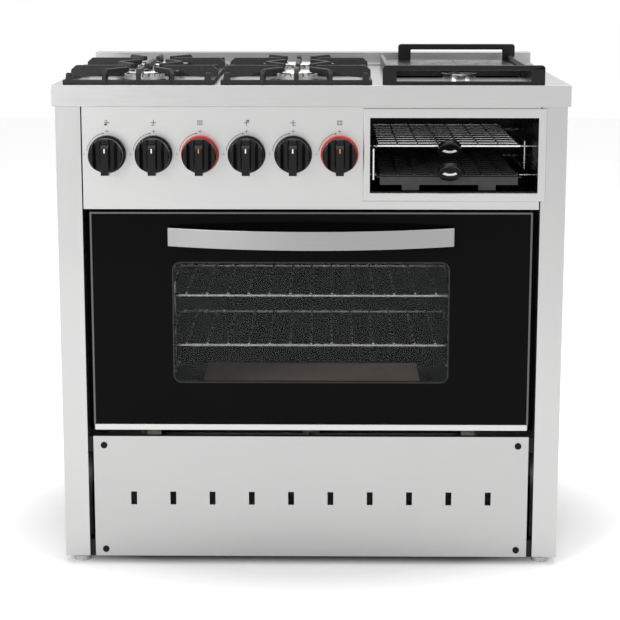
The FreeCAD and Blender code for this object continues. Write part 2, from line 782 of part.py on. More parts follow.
def drip_tray_pull():
    """Pull knob of the tray; its neck ends on the tray's tab."""
    body, root = pull_knob(front + tray_pull_front, tray_pull_z)
    tab_front = front + tray_front
    neck = rod((root.x, root.y - pull_neck_radius / 2, root.z), (root.x, tab_front, root.z), pull_neck_radius)
    return fuse([body, neck])


# ---- oven ----------------------------------------------------------------------------------------------
def oven_liner():
    """Sides, roof and back of the oven cavity; the sides run on down round the burner."""
    w = cavity_half_width
    y0, y1 = frame_y + sheet, front + cavity_back
    side = block((w, w + liner_sheet), (y0, y1), (liner_bottom, cavity_top))
    roof = block((-w - liner_sheet, w + liner_sheet), (y0, y1), (cavity_top, cavity_top + liner_sheet))
    rear_plate = block((-w - liner_sheet, w + liner_sheet), (y1, y1 + liner_sheet),
                       (liner_bottom, cavity_top + liner_sheet))
    return [side, mirrored(side), roof, rear_plate]


def oven_floor():
    """Floor plate over the burner, with two heat slots along each side."""
    w = cavity_half_width
    plate = block((-w, w), (frame_y + sheet, front + cavity_back), (cavity_floor - sheet, cavity_floor))
    for x in (-floor_slot_x, floor_slot_x):
        for begin, end in floor_slots:
            plate = plate.cut(block((x - floor_slot_width / 2, x + floor_slot_width / 2),
                                    (front + begin, front + end),
                                    (cavity_floor - 2 * sheet, cavity_floor + cut_past)))
    return plate


def oven_front_frame():
    """Enamelled plate round the oven's mouth, between the posts."""
    half = post_inner
    plate = block((-half, half), (frame_y, frame_y + sheet), (lower_top, panel_bottom + sheet))
    mouth = block((-cavity_half_width, cavity_half_width), (frame_y - cut_past, frame_y + 2 * sheet),
                  (cavity_floor, cavity_top))
    return plate.cut(mouth)


def door_seal():
    """Heat-proof gasket round the oven's mouth, between front frame and door."""
    inner_x = cavity_half_width + seal_inset
    ys = (face + door_depth + running_gap, frame_y)
    z0, z1 = cavity_floor - seal_drop, cavity_top + seal_inset
    outer = block((-inner_x - seal_width, inner_x + seal_width), ys, (z0 - seal_width, z1 + seal_width))
    return outer.cut(block((-inner_x, inner_x), (ys[0] - cut_past, ys[1] + cut_past), (z0, z1)))


def insulation():
    """Mineral-wool boards against the liner: two sides, roof and back."""
    w = cavity_half_width + liner_sheet
    t = insulation_thickness
    y0, y1 = frame_y + sheet, front + cavity_back + liner_sheet
    side = block((w, w + t), (y0, y1), (liner_bottom, cavity_top))
    roof = block((-w, w), (y0, y1), (cavity_top + liner_sheet, cavity_top + liner_sheet + t))
    rear_board = block((-w, w), (y1, y1 + t), (liner_bottom, cavity_top))
    return [side, mirrored(side), roof, rear_board]


def rack_side_x():
    """Centre of a rack's side wire."""
    return cavity_half_width - rack_side_gap


def oven_side_rails():
    """Wire ladder on each wall: two uprights and a ledge wire for each level."""
    r = rack_wire_radius
    y0 = front + rack_front
    y1 = y0 + rack_depth
    post_x = cavity_half_width - r
    ledge = rack_side_x() + rack_ledge_inset
    low = cavity_floor
    wires = []
    for d in ladder_posts:
        wires.append(rod((post_x, front + d, low), (post_x, front + d, ladder_top_z), r))
    heights = [z - 2 * r - running_gap for z in rack_levels] + [ladder_low_z]
    for z in heights:
        wires.append(rod((ledge, y0, z), (ledge, y1, z), r))
        for d in ladder_posts:
            wires.append(rod((ledge, front + d, z), (post_x, front + d, z), ladder_stub_radius))
    ladder = fuse(wires)
    return [ladder, mirrored(ladder)]


def oven_rack(z):
    """Chromed rack: a frame of thick wire with thin rods from front to back."""
    x = rack_side_x()
    r = rack_wire_radius
    y0 = front + rack_front
    y1 = y0 + rack_depth
    wires = [bent_rod([(x, y1, z), (x, y0, z), (-x, y0, z), (-x, y1, z)], r)]
    wires.append(rod((-x, y1, z), (x, y1, z), r))
    wires += [Part.makeSphere(r, Vector(s * x, y1, z)) for s in (-1, 1)]
    count = int(2 * x / rack_rod_pitch)
    rod_z = z + r
    for i in range(1, count + 1):
        rod_x = -x + 2 * x * i / (count + 1)
        wires.append(rod((rod_x, y0 - r / 2, rod_z), (rod_x, y1 + r / 2, rod_z), rack_rod_radius))
    return fuse(wires)


def baking_stone():
    """Loose refractory slab on the oven floor."""
    y0 = front + stone_front
    slab = block((-stone_half_width, stone_half_width), (y0, y0 + stone_depth),
                 (cavity_floor, cavity_floor + stone_thickness))
    return slab.makeChamfer(stone_chamfer, edges_at(slab, 2, cavity_floor + stone_thickness))


def door_profile(inset, y_front):
    """Side outline of the door, inset from its outside; its lower back edge slopes to swing clear."""
    y_back = face + door_depth - min(inset, sheet)
    slope = door_depth - hinge_back
    swing = math.sqrt(slope ** 2 - hinge_up ** 2)
    low = door_bottom + min(inset, sheet)
    return [(y_front, low), (hinge_y + swing - inset, low), (y_back, hinge_z + min(inset, sheet)),
            (y_back, door_top - inset), (y_front, door_top - inset)]


def door_body(inset, y_front):
    """The door's outline pushed across its width."""
    half = door_half_width - inset
    return prism([(-half, y, z) for y, z in door_profile(inset, y_front)], (2 * half, 0, 0))


def door_frame():
    """Pressed door body: metal edge, hollow behind the glass, back sheet with the window's opening."""
    shell = door_body(0.0, face).cut(door_body(door_edge, face - cut_past))
    ledge = block((-door_half_width + door_edge, door_half_width - door_edge),
                  (glass_back(), glass_back() + sheet), (door_bottom + sheet, door_top - door_edge))
    inside = door_edge + glass_ledge
    ledge = ledge.cut(block((-door_half_width + inside, door_half_width - inside), (face, face + door_depth),
                            (door_bottom + door_trim_height + glass_ledge, door_top - inside)))
    half = window_half_width + window_tunnel
    opening = block((-half, half), (face, face + door_depth + cut_past),
                    (window_bottom - window_tunnel, window_top + window_tunnel))
    past_side = door_half_width + cut_past
    lower_front = block((-past_side, past_side), (face - cut_past, glass_back()),
                        (door_bottom - cut_past, door_bottom + door_trim_height))
    shell = fuse([shell, ledge]).cut(opening).cut(lower_front)
    notch = block(notch_xs(), (hinge_y - hinge_knuckle_radius - hinge_arm_gap, face + door_depth + cut_past),
                  (door_bottom - cut_past, hinge_z + hinge_notch_height))
    shell = shell.cut(notch).cut(mirrored(notch))
    for x in (-handle_post_x, handle_post_x):
        bolt_hole = rod((x, face, handle_z), (x, face + door_depth / 2, handle_z), handle_bolt_radius())
        shell = shell.cut(bolt_hole)
    return shell


def notch_xs():
    """Room for a hinge in the door's lower edge."""
    half = 1.5 * hinge_arm_thickness + hinge_arm_gap + hinge_notch_gap
    return hinge_x - half, hinge_x + half


def glass_back():
    """Back face of the outer door glass."""
    return face + glass_setback + door_glass


def handle_bolt_radius():
    """Bolt behind a handle post."""
    return handle_post_radius / 2


def door_outer_glass():
    """Black glass of the door, drilled for the handle posts."""
    gap = running_gap
    pane = block((-door_half_width + door_edge + gap, door_half_width - door_edge - gap),
                 (face + glass_setback, glass_back()),
                 (door_bottom + door_trim_height + gap, door_top - door_edge - gap))
    hole = handle_bolt_radius() + running_gap
    for x in (-handle_post_x, handle_post_x):
        pane = pane.cut(rod((x, face, handle_z), (x, glass_back() + cut_past, handle_z), hole))
    return pane


def door_inner_glass():
    """Clear inner glass, held against the back sheet round the window."""
    half = window_half_width + window_tunnel + inner_glass_lap
    y1 = face + door_depth - sheet
    return block((-half, half), (y1 - inner_glass, y1),
                 (window_bottom - window_tunnel - inner_glass_lap, window_top + window_tunnel + inner_glass_lap))


def door_bottom_trim():
    """Stainless strip along the lower edge of the door's glass."""
    half = door_half_width - door_trim_inset
    return block((-half, half), (face - door_trim_proud, glass_back()),
                 (door_bottom, door_bottom + door_trim_height))


def handle_centre_y():
    """Centre of the bow's outer radius."""
    return face - handle_stand_off + handle_radius()


def handle_radius():
    """Radius of the bowed handle from its length and sagitta."""
    return (handle_half_length ** 2 + handle_sagitta ** 2) / (2 * handle_sagitta)


def handle_cylinder(radius):
    """Upright cylinder on the bow's centre line."""
    low = Vector(0, handle_centre_y(), handle_z - 1.5 * handle_height)
    return Part.makeCylinder(radius, 3 * handle_height, low)


def door_handle():
    """Flat bar bowed towards the viewer."""
    bow = handle_cylinder(handle_radius()).cut(handle_cylinder(handle_radius() - handle_thickness))
    window = block((-handle_half_length, handle_half_length), (face - 2 * handle_stand_off, face),
                   (handle_z - handle_height / 2, handle_z + handle_height / 2))
    bar = bow.common(window)
    return bar.Solids[0]


def handle_posts():
    """Two posts between glass and handle, each with a bolt into the door's frame."""
    posts = []
    for x in (-handle_post_x, handle_post_x):
        post = rod((x, face - handle_stand_off, handle_z), (x, face + glass_setback, handle_z),
                   handle_post_radius)
        post = post.common(handle_cylinder(handle_radius() - handle_thickness))
        bolt = rod((x, face, handle_z), (x, glass_back() + 3 * sheet, handle_z), handle_bolt_radius())
        posts.append(fuse([post, bolt]))
    return posts


def hinge_arm():
    """Door half of the right hinge: two cheeks on a foot plate inside the door."""
    t = hinge_arm_thickness
    r = hinge_knuckle_radius
    inner_face = face + door_depth - sheet
    cheeks = []
    for side in (-1, 1):
        x0 = hinge_x + side * (t / 2 + hinge_arm_gap)
        xs = (min(x0, x0 + side * t), max(x0, x0 + side * t))
        knuckle = rod((xs[0], hinge_y, hinge_z), (xs[1], hinge_y, hinge_z), r)
        leaf = block(xs, (hinge_y - r, hinge_y + r), (hinge_z, hinge_z + hinge_arm_top))
        cheeks.append(fuse([knuckle, leaf]))
    foot = block((hinge_x - 3 * t, hinge_x + 3 * t), (hinge_y + r, inner_face),
                 (hinge_z + hinge_notch_height + t, hinge_z + hinge_arm_top))
    arm = fuse(cheeks + [foot])
    bore = hinge_pin_radius + hinge_pin_fit
    return arm.cut(rod((hinge_x - 4 * t, hinge_y, hinge_z), (hinge_x + 4 * t, hinge_y, hinge_z), bore))


def hinge_bracket():
    """Fixed half of the right hinge: an arm from the front frame with the pin through its end."""
    t = hinge_arm_thickness
    r = hinge_knuckle_radius
    knuckle = rod((hinge_x - t / 2, hinge_y, hinge_z), (hinge_x + t / 2, hinge_y, hinge_z), r)
    arm = block((hinge_x - t / 2, hinge_x + t / 2), (hinge_y, frame_y), (hinge_z - r, hinge_z + r))
    half = 1.5 * t
    plate = block((hinge_x - half, hinge_x + half), (frame_y - 2 * sheet, frame_y),
                  (hinge_z - r, hinge_z + r))
    reach_x = half + hinge_arm_gap
    pin = rod((hinge_x - reach_x, hinge_y, hinge_z), (hinge_x + reach_x, hinge_y, hinge_z), hinge_pin_radius)
    return fuse([knuckle, arm, plate, pin])


def oven_burner():
    """Straight pipe burner on two cross bars between the liner's sides."""
    y0 = front + oven_burner_front
    y1 = y0 + oven_burner_length
    pipe = rod((0, y0, oven_burner_z), (0, y1, oven_burner_z), oven_burner_radius)
    underside = oven_burner_z - oven_burner_radius
    half = oven_burner_bar_width / 2
    bars = [block((-cavity_half_width, cavity_half_width), (y - half, y + half),
                  (underside, underside + oven_burner_bar))
            for y in (y0 + oven_burner_bar_inset, y1 - oven_burner_bar_inset)]
    burner = fuse([pipe] + bars)
    burner = burner.cut(rod((0, y0 + oven_burner_end, oven_burner_z),
                            (0, y1 - oven_burner_end, oven_burner_z), oven_burner_bore))
    run = oven_burner_length - 2 * oven_port_inset
    count = int(run / oven_port_pitch)
    for i in range(count + 1):
        y = y0 + oven_port_inset + i * run / count
        port = rod((0, y, oven_burner_z), (0, y, oven_burner_z + 2 * oven_burner_radius), port_radius)
        burner = burner.cut(port)
    return burner


# ---- lower panel ---------------------------------------------------------------------------------------
def fastener_places():
    """Centres of the four panel fasteners."""
    return [(x, z) for x in (-fastener_x, fastener_x)
            for z in (foot_clearance + fastener_inset, lower_top - fastener_top_inset)]


def lower_panel():
    """Removable front sheet with a row of vent slots and a folded top edge."""
    panel = block((-lower_half_width, lower_half_width), (face, face + sheet), (foot_clearance, lower_top))
    fold = block((-lower_half_width, lower_half_width), (face, face + lower_flange),
                 (lower_top - sheet, lower_top))
    panel = fuse([panel, fold])
    for i in range(vent_count):
        x = (i - (vent_count - 1) / 2) * vent_pitch
        slot = block((x - vent_width / 2, x + vent_width / 2), (face - cut_past, face + 2 * sheet),
                     (vent_z - vent_height / 2, vent_z + vent_height / 2))
        panel = panel.cut(slot)
    hole = fastener_shank_radius + running_gap
    for x, z in fastener_places():
        panel = panel.cut(rod((x, face - cut_past, z), (x, face + 2 * sheet, z), hole))
    return panel


def panel_fasteners():
    """Four black push fasteners: a domed head and a shank."""
    pieces = []
    for x, z in fastener_places():
        head = rod((x, face, z), (x, face - fastener_head, z), fastener_radius)
        head = head.makeFillet(fastener_edge, edges_at(head, 1, face - fastener_head))
        shank = rod((x, face, z), (x, face + sheet, z), fastener_shank_radius)
        pieces.append(fuse([head, shank]))
    return pieces


# ---- gas line ------------------------------------------------------------------------------------------
def manifold_outside():
    """Outer form of the manifold pipe."""
    return rod((manifold_left, manifold_y, knob_z), (manifold_right, manifold_y, knob_z), manifold_radius)


def gas_manifold():
    """Pipe behind the control panel, held by two lugs on the panel."""
    pipe = manifold_outside()
    lugs = []
    for x in (knob_xs[0] + knob_pitch / 2, knob_xs[-1] - knob_pitch / 2):
        lugs.append(block((x - manifold_lug_width / 2, x + manifold_lug_width / 2),
                          (face + sheet, manifold_y),
                          (knob_z - manifold_lug_height / 2, knob_z + manifold_lug_height / 2)))
    solid = fuse([pipe] + lugs)
    wall = manifold_radius - manifold_bore
    return solid.cut(rod((manifold_left + wall, manifold_y, knob_z),
                         (manifold_right - wall, manifold_y, knob_z), manifold_bore))


def gas_valves():
    """Six taps seated on the manifold, each with its round stem through the panel."""
    taps = []
    for x in knob_xs:
        body = rod((x, valve_back - valve_length, knob_z), (x, manifold_y, knob_z), valve_body_radius)
        stem_tip = face - knob_ring_height - knob_gap - stem_insert
        stem = rod((x, stem_tip, knob_z), (x, valve_back - valve_length + valve_stem_root, knob_z),
                   stem_radius)
        taps.append(fuse([body, stem]).cut(manifold_outside()))
    return taps


def gas_inlet():
    """Straight pipe from the manifold to a threaded end behind the body."""
    x = inlet_x()
    end = back + inlet_thread
    pipe = rod((x, manifold_y, knob_z), (x, back - inlet_collar_length, knob_z), 2 * supply_radius)
    collar = rod((x, back - inlet_collar_length, knob_z), (x, back - sheet, knob_z), inlet_collar_radius)
    thread = rod((x, back - 2 * sheet, knob_z), (x, end, knob_z), inlet_radius)
    bore = rod((x, back - inlet_collar_length + sheet, knob_z), (x, end + cut_past, knob_z), inlet_bore)
    return fuse([pipe, collar, thread]).cut(manifold_outside()).cut(bore)


def supply_pipes():
    """Small pipes from the taps to the four hob burners, the griddle burner and the oven burner."""
    tap_y = valve_back - valve_length / 2
    top = knob_z + valve_body_radius
    cup_bottom = hob_height - burner_cup_depth
    levels = [top + 3 * supply_radius * (1 + i) for i in range(3)]
    pipes = []
    for tap, place, level in ((0, 1, 0), (1, 0, 1), (4, 2, 1), (3, 3, 0)):
        start, z = knob_xs[tap], levels[level]
        x, y = burner_places[place]
        run = [(start, tap_y, top), (start, tap_y, z), (x, y, z), (x, y, cup_bottom)]
        pipes.append(bent_pipe(run, supply_radius, supply_bend))
    oven_x = -(cavity_half_width + liner_sheet + insulation_thickness + 3 * supply_radius)
    oven_y = front + oven_burner_front - supply_radius
    below = liner_bottom - 3 * supply_radius
    start, z = knob_xs[2], levels[2]
    run = [(start, tap_y, top), (start, tap_y, z), (oven_x, oven_y, z), (oven_x, oven_y, below),
           (0, oven_y, below), (0, oven_y, oven_burner_z)]
    pipes.append(bent_pipe(run, supply_radius, supply_bend))
    start = knob_xs[5]
    feed_y, feed_z = griddle_feed()
    feed_x = griddle_x - griddle_burner_offset - griddle_burner_radius
    run = [(start, tap_y, top), (start, tap_y, levels[0]), (start, feed_y, levels[0]),
           (start, feed_y, feed_z), (feed_x, feed_y, feed_z)]
    pipes.append(bent_pipe(run, supply_radius, supply_bend))
    return pipes


# ---- hob burners and grates ----------------------------------------------------------------------------
def burner_cup(x, y):
    """Pot that hangs in the hob's hole by its flange."""
    base = hob_height - burner_cup_depth
    pot = Part.makeCylinder(burner_cup_radius, burner_cup_depth, Vector(x, y, base))
    flange = Part.makeCone(burner_cup_flange, burner_cup_radius, burner_cup_flange_height,
                           Vector(x, y, hob_height))
    cup = fuse([pot, flange])
    cup = cup.cut(Part.makeCylinder(burner_cup_radius - sheet, burner_cup_depth, Vector(x, y, base + sheet)))
    mouth = Part.makeCone(burner_cup_radius - sheet, burner_cup_radius + burner_cup_lip,
                          burner_cup_flange_height - burner_cup_edge,
                          Vector(x, y, hob_height + burner_cup_edge))
    return cup.cut(mouth)


def burner_head(x, y):
    """Cast head with radial flame ports, on a mixing tube that stands in the cup."""
    base = hob_height - burner_cup_depth + sheet
    top = hob_height + burner_cup_flange_height
    tube = Part.makeCylinder(burner_bore_radius + burner_tube_wall, top - base, Vector(x, y, base))
    head = Part.makeCylinder(burner_head_radius, burner_head_height, Vector(x, y, top))
    solid = fuse([tube, head])
    solid = solid.cut(Part.makeCylinder(burner_bore_radius, 2 * burner_cup_depth,
                                        Vector(x, y, base - cut_past)))
    inside = burner_head_radius - burner_head_wall
    solid = solid.cut(Part.makeCylinder(inside, burner_head_height, Vector(x, y, top + burner_head_floor)))
    head_top = top + burner_head_height
    half = burner_port_width / 2
    for i in range(burner_ports):
        slot = block((inside - cut_past, burner_head_radius + cut_past), (-half, half),
                     (head_top - burner_port_depth, head_top + cut_past))
        slot.rotate(Vector(0, 0, 0), Vector(0, 0, 1), 360.0 * i / burner_ports)
        slot.translate(Vector(x, y, 0))
        solid = solid.cut(slot)
    return solid


def burner_cap(x, y):
    """Polished cap that closes the head."""
    base = hob_height + burner_cup_flange_height + burner_head_height
    cap = Part.makeCylinder(burner_cap_radius, burner_cap_height, Vector(x, y, base))
    return cap.makeFillet(burner_cap_edge, edges_at(cap, 2, base + burner_cap_height))


def finger(x0, y0, x1, y1):
    """Pan support from a bar at (x0, y0) to its tip at (x1, y1): a foot, a bend and a level top."""
    length = math.hypot(x1 - x0, y1 - y0)
    top = grate_support
    low = grate_support - grate_finger_depth
    outline = [(0, 0), (0, top - grate_finger_slope), (grate_finger_slope, top), (length, top),
               (length, low + grate_finger_tip), (length - grate_finger_web, low),
               (grate_bar + grate_finger_web, low), (grate_bar, low - grate_finger_web), (grate_bar, 0)]
    half = grate_finger / 2
    plate = prism([(u, -half, hob_height + w) for u, w in outline], (0, grate_finger, 0))
    plate.rotate(Vector(0, 0, 0), Vector(0, 0, 1), math.degrees(math.atan2(y1 - y0, x1 - x0)))
    plate.translate(Vector(x0, y0, 0))
    return plate


def fin(x0, x1, y):
    """Deep side support from the outer bar inwards: thicker below, and tapering to its tip."""
    s = 1 if x1 > x0 else -1
    top = hob_height + grate_support
    low = hob_height + grate_support - grate_finger_depth
    root = hob_height + grate_fin_root
    outline = [(x0, root), (x0, top - grate_finger_slope), (x0 + s * grate_fin_shoulder, top), (x1, top),
               (x1, low + grate_finger_tip), (x1 - s * grate_fin_taper, low),
               (x0 + s * grate_fin_rise, root + grate_finger_tip), (x0 + s * grate_fin_level, root)]
    half, foot = grate_finger / 2, grate_fin_foot / 2
    side_view = prism([(x, y - foot, z) for x, z in outline], (0, 2 * foot, 0))
    section = [(x0, y - foot, root), (x0, y - half, top), (x0, y + half, top), (x0, y + foot, root)]
    return side_view.common(prism(section, (x1 - x0, 0, 0)))


def horn(x, y, inwards):
    """Tapered upright near the end of a cross bar, to hold pans off the frame."""
    foot = x + inwards * grate_horn_inset
    lean = (grate_horn_foot - grate_horn_tip) / 2
    outline = [(foot, hob_height), (foot + inwards * lean, hob_height + grate_corner),
               (foot + inwards * (lean + grate_horn_tip), hob_height + grate_corner),
               (foot + inwards * grate_horn_foot, hob_height)]
    return prism([(u, y, z) for u, z in outline], (0, grate_bar, 0))


def grate(cx):
    """Cast-iron pan support over a front and a rear burner."""
    half = grate_width / 2
    x0, x1 = cx - half, cx + half
    y0, y1 = front + grate_front, front + grate_rear
    middle = (y0 + y1) / 2
    b = grate_bar
    zs = (hob_height, hob_height + grate_bar_height)
    bars = [block((x0, x1), (y0, y0 + b), zs), block((x0, x1), (y1 - b, y1), zs),
            block((x0, x1), (middle - b / 2, middle + b / 2), zs),
            block((x0, x0 + b), (y0, y1), zs), block((x1 - b, x1), (y0, y1), zs)]
    for y in (y0, middle - b / 2, y1 - b):
        bars += [horn(x0, y, 1), horn(x1, y, -1)]
    for by in burner_ys:
        near = y0 if by < middle else middle - b / 2
        far = middle + b / 2 if by < middle else y1
        for sx in (-1, 0, 1):
            tip = burner_clear_radius if sx == 0 else burner_clear_radius + side_finger_gap
            bars.append(finger(cx + sx * grate_splay, near, cx + sx * grate_splay_tip, by - tip))
            bars.append(finger(cx + sx * grate_splay, far, cx + sx * grate_splay_tip, by + tip))
        bars.append(fin(x0, cx - burner_clear_radius, by))
        bars.append(fin(x1, cx + burner_clear_radius, by))
    return fuse(bars)


# ---- griddle -------------------------------------------------------------------------------------------
def griddle_frame():
    """Enamelled frame: side rails, cross bars and the ledges that carry the plates."""
    half = griddle_width / 2
    x0, x1 = griddle_x - half, griddle_x + half
    y0 = front + griddle_front + handle_plate
    y1 = front + griddle_front + griddle_length
    cross = front + griddle_cross_front
    rail_top = hob_height + griddle_rail_height
    bars = [block((x0, x0 + griddle_rail), (y0, y1 - handle_plate), (hob_height, rail_top)),
            block((x1 - griddle_rail, x1), (y0, y1 - handle_plate), (hob_height, rail_top)),
            block((x0, x1), (y1 - handle_plate, y1), (hob_height, hob_height + griddle_rear_height)),
            block((x0, x1), (cross, cross + griddle_rail),
                  (hob_height + griddle_foot_gap, hob_height + griddle_lip_height))]
    ledge_z = (hob_height, hob_height + griddle_ledge_height)
    inner0, inner1 = x0 + griddle_rail, x1 - griddle_rail
    bars += [block((inner0, inner0 + griddle_ledge), (cross, y1), ledge_z),
             block((inner1 - griddle_ledge, inner1), (cross, y1), ledge_z),
             block((inner0, inner1), (cross + griddle_rail, cross + griddle_rail + griddle_ledge),
                   (hob_height + griddle_foot_gap, hob_height + griddle_ledge_height)),
             block((inner0, inner1), (y1 - handle_plate - griddle_ledge, y1 - handle_plate), ledge_z)]
    return fuse(bars)


def griddle_plate_shape(x0, x1):
    """One cast plate lying on the frame's ledges."""
    y0 = front + griddle_cross_front + griddle_rail + griddle_plate_gap
    y1 = front + griddle_front + griddle_length - handle_plate - griddle_plate_gap
    z0 = hob_height + griddle_ledge_height
    plate = block((x0, x1), (y0, y1), (z0, z0 + griddle_plate))
    return plate.makeChamfer(griddle_plate_chamfer, edges_at(plate, 2, z0 + griddle_plate))


def griddle_handles():
    """Front and rear carrying handles: flat upright plates with a window for the fingers."""
    y0 = front + griddle_front
    half = front_handle_width / 2
    sill = hob_height + front_handle_sill
    top = hob_height + front_handle_height
    front_plate = rounded_plate((griddle_x - half, griddle_x + half), (y0, y0 + handle_plate),
                                (hob_height, top), handle_corner_radius, "upper")
    front_plate = front_plate.cut(rounded_plate(
        (griddle_x - half + front_handle_leg, griddle_x + half - front_handle_leg),
        (y0 - cut_past, y0 + handle_plate + cut_past),
        (sill, top - front_handle_bar), handle_corner_radius / 3))
    y1 = front + griddle_front + griddle_length
    half = rear_handle_width / 2
    foot = hob_height + griddle_rear_height
    top = hob_height + rear_handle_height
    rear_plate = rounded_plate((rear_handle_x - half, rear_handle_x + half), (y1 - handle_plate, y1),
                               (foot, top), handle_corner_radius, "upper")
    rear_plate = rear_plate.cut(block(
        (rear_handle_x - half + rear_handle_leg, rear_handle_x + half - rear_handle_leg),
        (y1 - 2 * handle_plate, y1 + cut_past), (foot - cut_past, top - rear_handle_bar)))
    return [front_plate, rear_plate]


def griddle_feed():
    """Depth and height of the griddle burner's feed pipe."""
    return griddle_window()[2] + griddle_feed_inset, hob_height - griddle_burner_drop


def griddle_burner():
    """Two pipe burners joined by a feed pipe, hung from the compartment's roof on two straps."""
    left, right, y0, y1 = griddle_window()
    y1 = min(y1, chamber_span()[1] - hob_window_margin)
    z = hob_height - griddle_burner_drop
    xs = (griddle_x - griddle_burner_offset, griddle_x + griddle_burner_offset)
    ends = (y0 + griddle_burner_inset, y1 - griddle_burner_inset)
    pipes = [rod((x, ends[0], z), (x, ends[1], z), griddle_burner_radius) for x in xs]
    feed_y = griddle_feed()[0]
    feed = rod((xs[0], feed_y, z), (xs[1], feed_y, z), griddle_burner_radius / 2)
    roof = chamber_roof_z + liner_sheet
    straps = [block((left - griddle_strap_lap, right + griddle_strap_lap),
                    (y - griddle_strap_width / 2, y + griddle_strap_width / 2),
                    (roof, z - griddle_burner_radius + griddle_strap_cover))
              for y in (feed_y, y1 - griddle_feed_inset)]
    burner = fuse(pipes + [feed] + straps)
    run = y1 - y0 - 2 * griddle_port_inset
    for x in xs:
        burner = burner.cut(rod((x, ends[0] + griddle_burner_end, z), (x, ends[1] - griddle_burner_end, z),
                                griddle_burner_bore))
        for i in range(griddle_ports):
            y = y0 + griddle_port_inset + i * run / (griddle_ports - 1)
            burner = burner.cut(rod((x, y, z), (x, y, z + 2 * griddle_burner_radius), port_radius))
    return burner


def grease_cup():
    """Polished cup that hangs by its collar in the hob, in front of the griddle plates."""
    centre = Vector(griddle_x, front + cup_y, hob_height)
    ring = Part.makeCylinder(cup_ring_radius, cup_ring_height, centre)
    pot = Part.makeCylinder(cup_pot_radius, cup_depth, centre - Vector(0, 0, cup_depth))
    cup = fuse([ring, pot])
    hollow = Part.makeCylinder(cup_pot_radius - cup_wall, cup_depth + cup_ring_height + cut_past,
                               centre - Vector(0, 0, cup_depth - sheet))
    return cup.cut(hollow)


# ---- knobs ---------------------------------------------------------------------------------------------
def knob_ring(x):
    """Base ring on the panel round one knob."""
    ring = rod((x, face, knob_z), (x, face - knob_ring_height, knob_z), knob_ring_radius)
    ring = ring.makeFillet(knob_ring_edge, edges_at(ring, 1, face - knob_ring_height))
    return ring.cut(rod((x, face + cut_past, knob_z), (x, face - 2 * knob_ring_height, knob_z),
                        knob_ring_bore))


def knob(x):
    """Round knob with a grip bar between two finger grooves, bored for its stem."""
    base = face - knob_ring_height - knob_gap
    top = base - knob_skirt
    body = rod((x, base, knob_z), (x, top, knob_z), knob_radius)
    body = body.makeChamfer(knob_chamfer, edges_at(body, 1, top))
    for side in (-1, 1):
        centre_x = x + side * knob_scoop_offset
        scoop = rod((centre_x, top - knob_scoop_rise, knob_z - 2 * knob_radius),
                    (centre_x, top - knob_scoop_rise, knob_z + 2 * knob_radius), knob_scoop_radius)
        body = body.cut(scoop)
    half = knob_bar_width / 2
    bar = block((x - half, x + half), (top - knob_bar_rise, base - knob_skirt / 3),
                (knob_z - knob_radius - knob_tail, knob_z + knob_radius - knob_bar_top))
    bar = bar.makeFillet(knob_bar_edge, edges_at(bar, 1, top - knob_bar_rise))
    solid = fuse([body, bar])
    bore = stem_radius + stem_fit
    return solid.cut(rod((x, base + cut_past, knob_z), (x, base - stem_insert - running_gap, knob_z), bore))


# ---- write every node ----------------------------------------------------------------------------------
os.makedirs("parts", exist_ok=True)

right_side = side_panel()
save("side_panel_right", right_side)
save("side_panel_left", mirrored(right_side))
save("frame_rails", *rails())
save("levelling_feet", *feet())
save("back_panel", back_panel())
save("hob_rim", hob_rim())
save("hob_sheet", hob_sheet())
save("backguard", backguard())
save("control_panel", control_panel())
save("compartment_bezel", compartment_bezel())
save("compartment_liner", *compartment_liner())
save("compartment_rails", *compartment_rails())
save("grill_rack", grill_rack())
save("grill_rack_pull", grill_rack_pull())
save("drip_tray", drip_tray())
save("tray_grid", tray_grid())
save("drip_tray_pull", drip_tray_pull())
save("oven_liner", *oven_liner())
save("oven_insulation", *insulation())
save("oven_floor", oven_floor())
save("oven_front_frame", oven_front_frame())
save("door_seal", door_seal())
save("oven_side_rails", *oven_side_rails())
save("oven_rack_upper", oven_rack(rack_levels[0]))
save("oven_rack_lower", oven_rack(rack_levels[1]))
save("baking_stone", baking_stone())
save("oven_burner", oven_burner())
save("door_frame", door_frame())
save("door_outer_glass", door_outer_glass())
save("door_inner_glass", door_inner_glass())
save("door_bottom_trim", door_bottom_trim())
save("door_handle", door_handle())
save("door_handle_posts", *handle_posts())
save("door_hinge_arms", hinge_arm(), mirrored(hinge_arm()))
save("door_hinge_brackets", hinge_bracket(), mirrored(hinge_bracket()))
save("lower_panel", lower_panel())
save("panel_fasteners", *panel_fasteners())
save("gas_manifold", gas_manifold())
save("gas_valves", *gas_valves())
save("gas_inlet", gas_inlet())
save("supply_pipes", *supply_pipes())
save("burner_cups", *[burner_cup(x, y) for x, y in burner_places])
save("burner_heads", *[burner_head(x, y) for x, y in burner_places])
save("burner_caps", *[burner_cap(x, y) for x, y in burner_places])
save("grate_left", grate(grate_left_x))
save("grate_middle", grate(grate_middle_x))
save("griddle_frame", griddle_frame())
save("griddle_handles", *griddle_handles())
plate_left = griddle_x - griddle_width / 2 + griddle_rail + griddle_plate_gap
plate_right = griddle_x + griddle_width / 2 - griddle_rail - griddle_plate_gap
save("griddle_plate_left", griddle_plate_shape(plate_left, griddle_seam_x - griddle_seam / 2))
save("griddle_plate_right", griddle_plate_shape(griddle_seam_x + griddle_seam / 2, plate_right))
save("griddle_burner", griddle_burner())
save("grease_cup", grease_cup())
save("knob_rings_black", *[knob_ring(x) for i, x in enumerate(knob_xs) if i not in red_knobs])
save("knob_rings_red", *[knob_ring(knob_xs[i]) for i in red_knobs])
for number, x in enumerate(knob_xs, start=1):
    save("knob_%d" % number, knob(x))
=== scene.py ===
import math

import bpy
from mathutils import Matrix, Vector


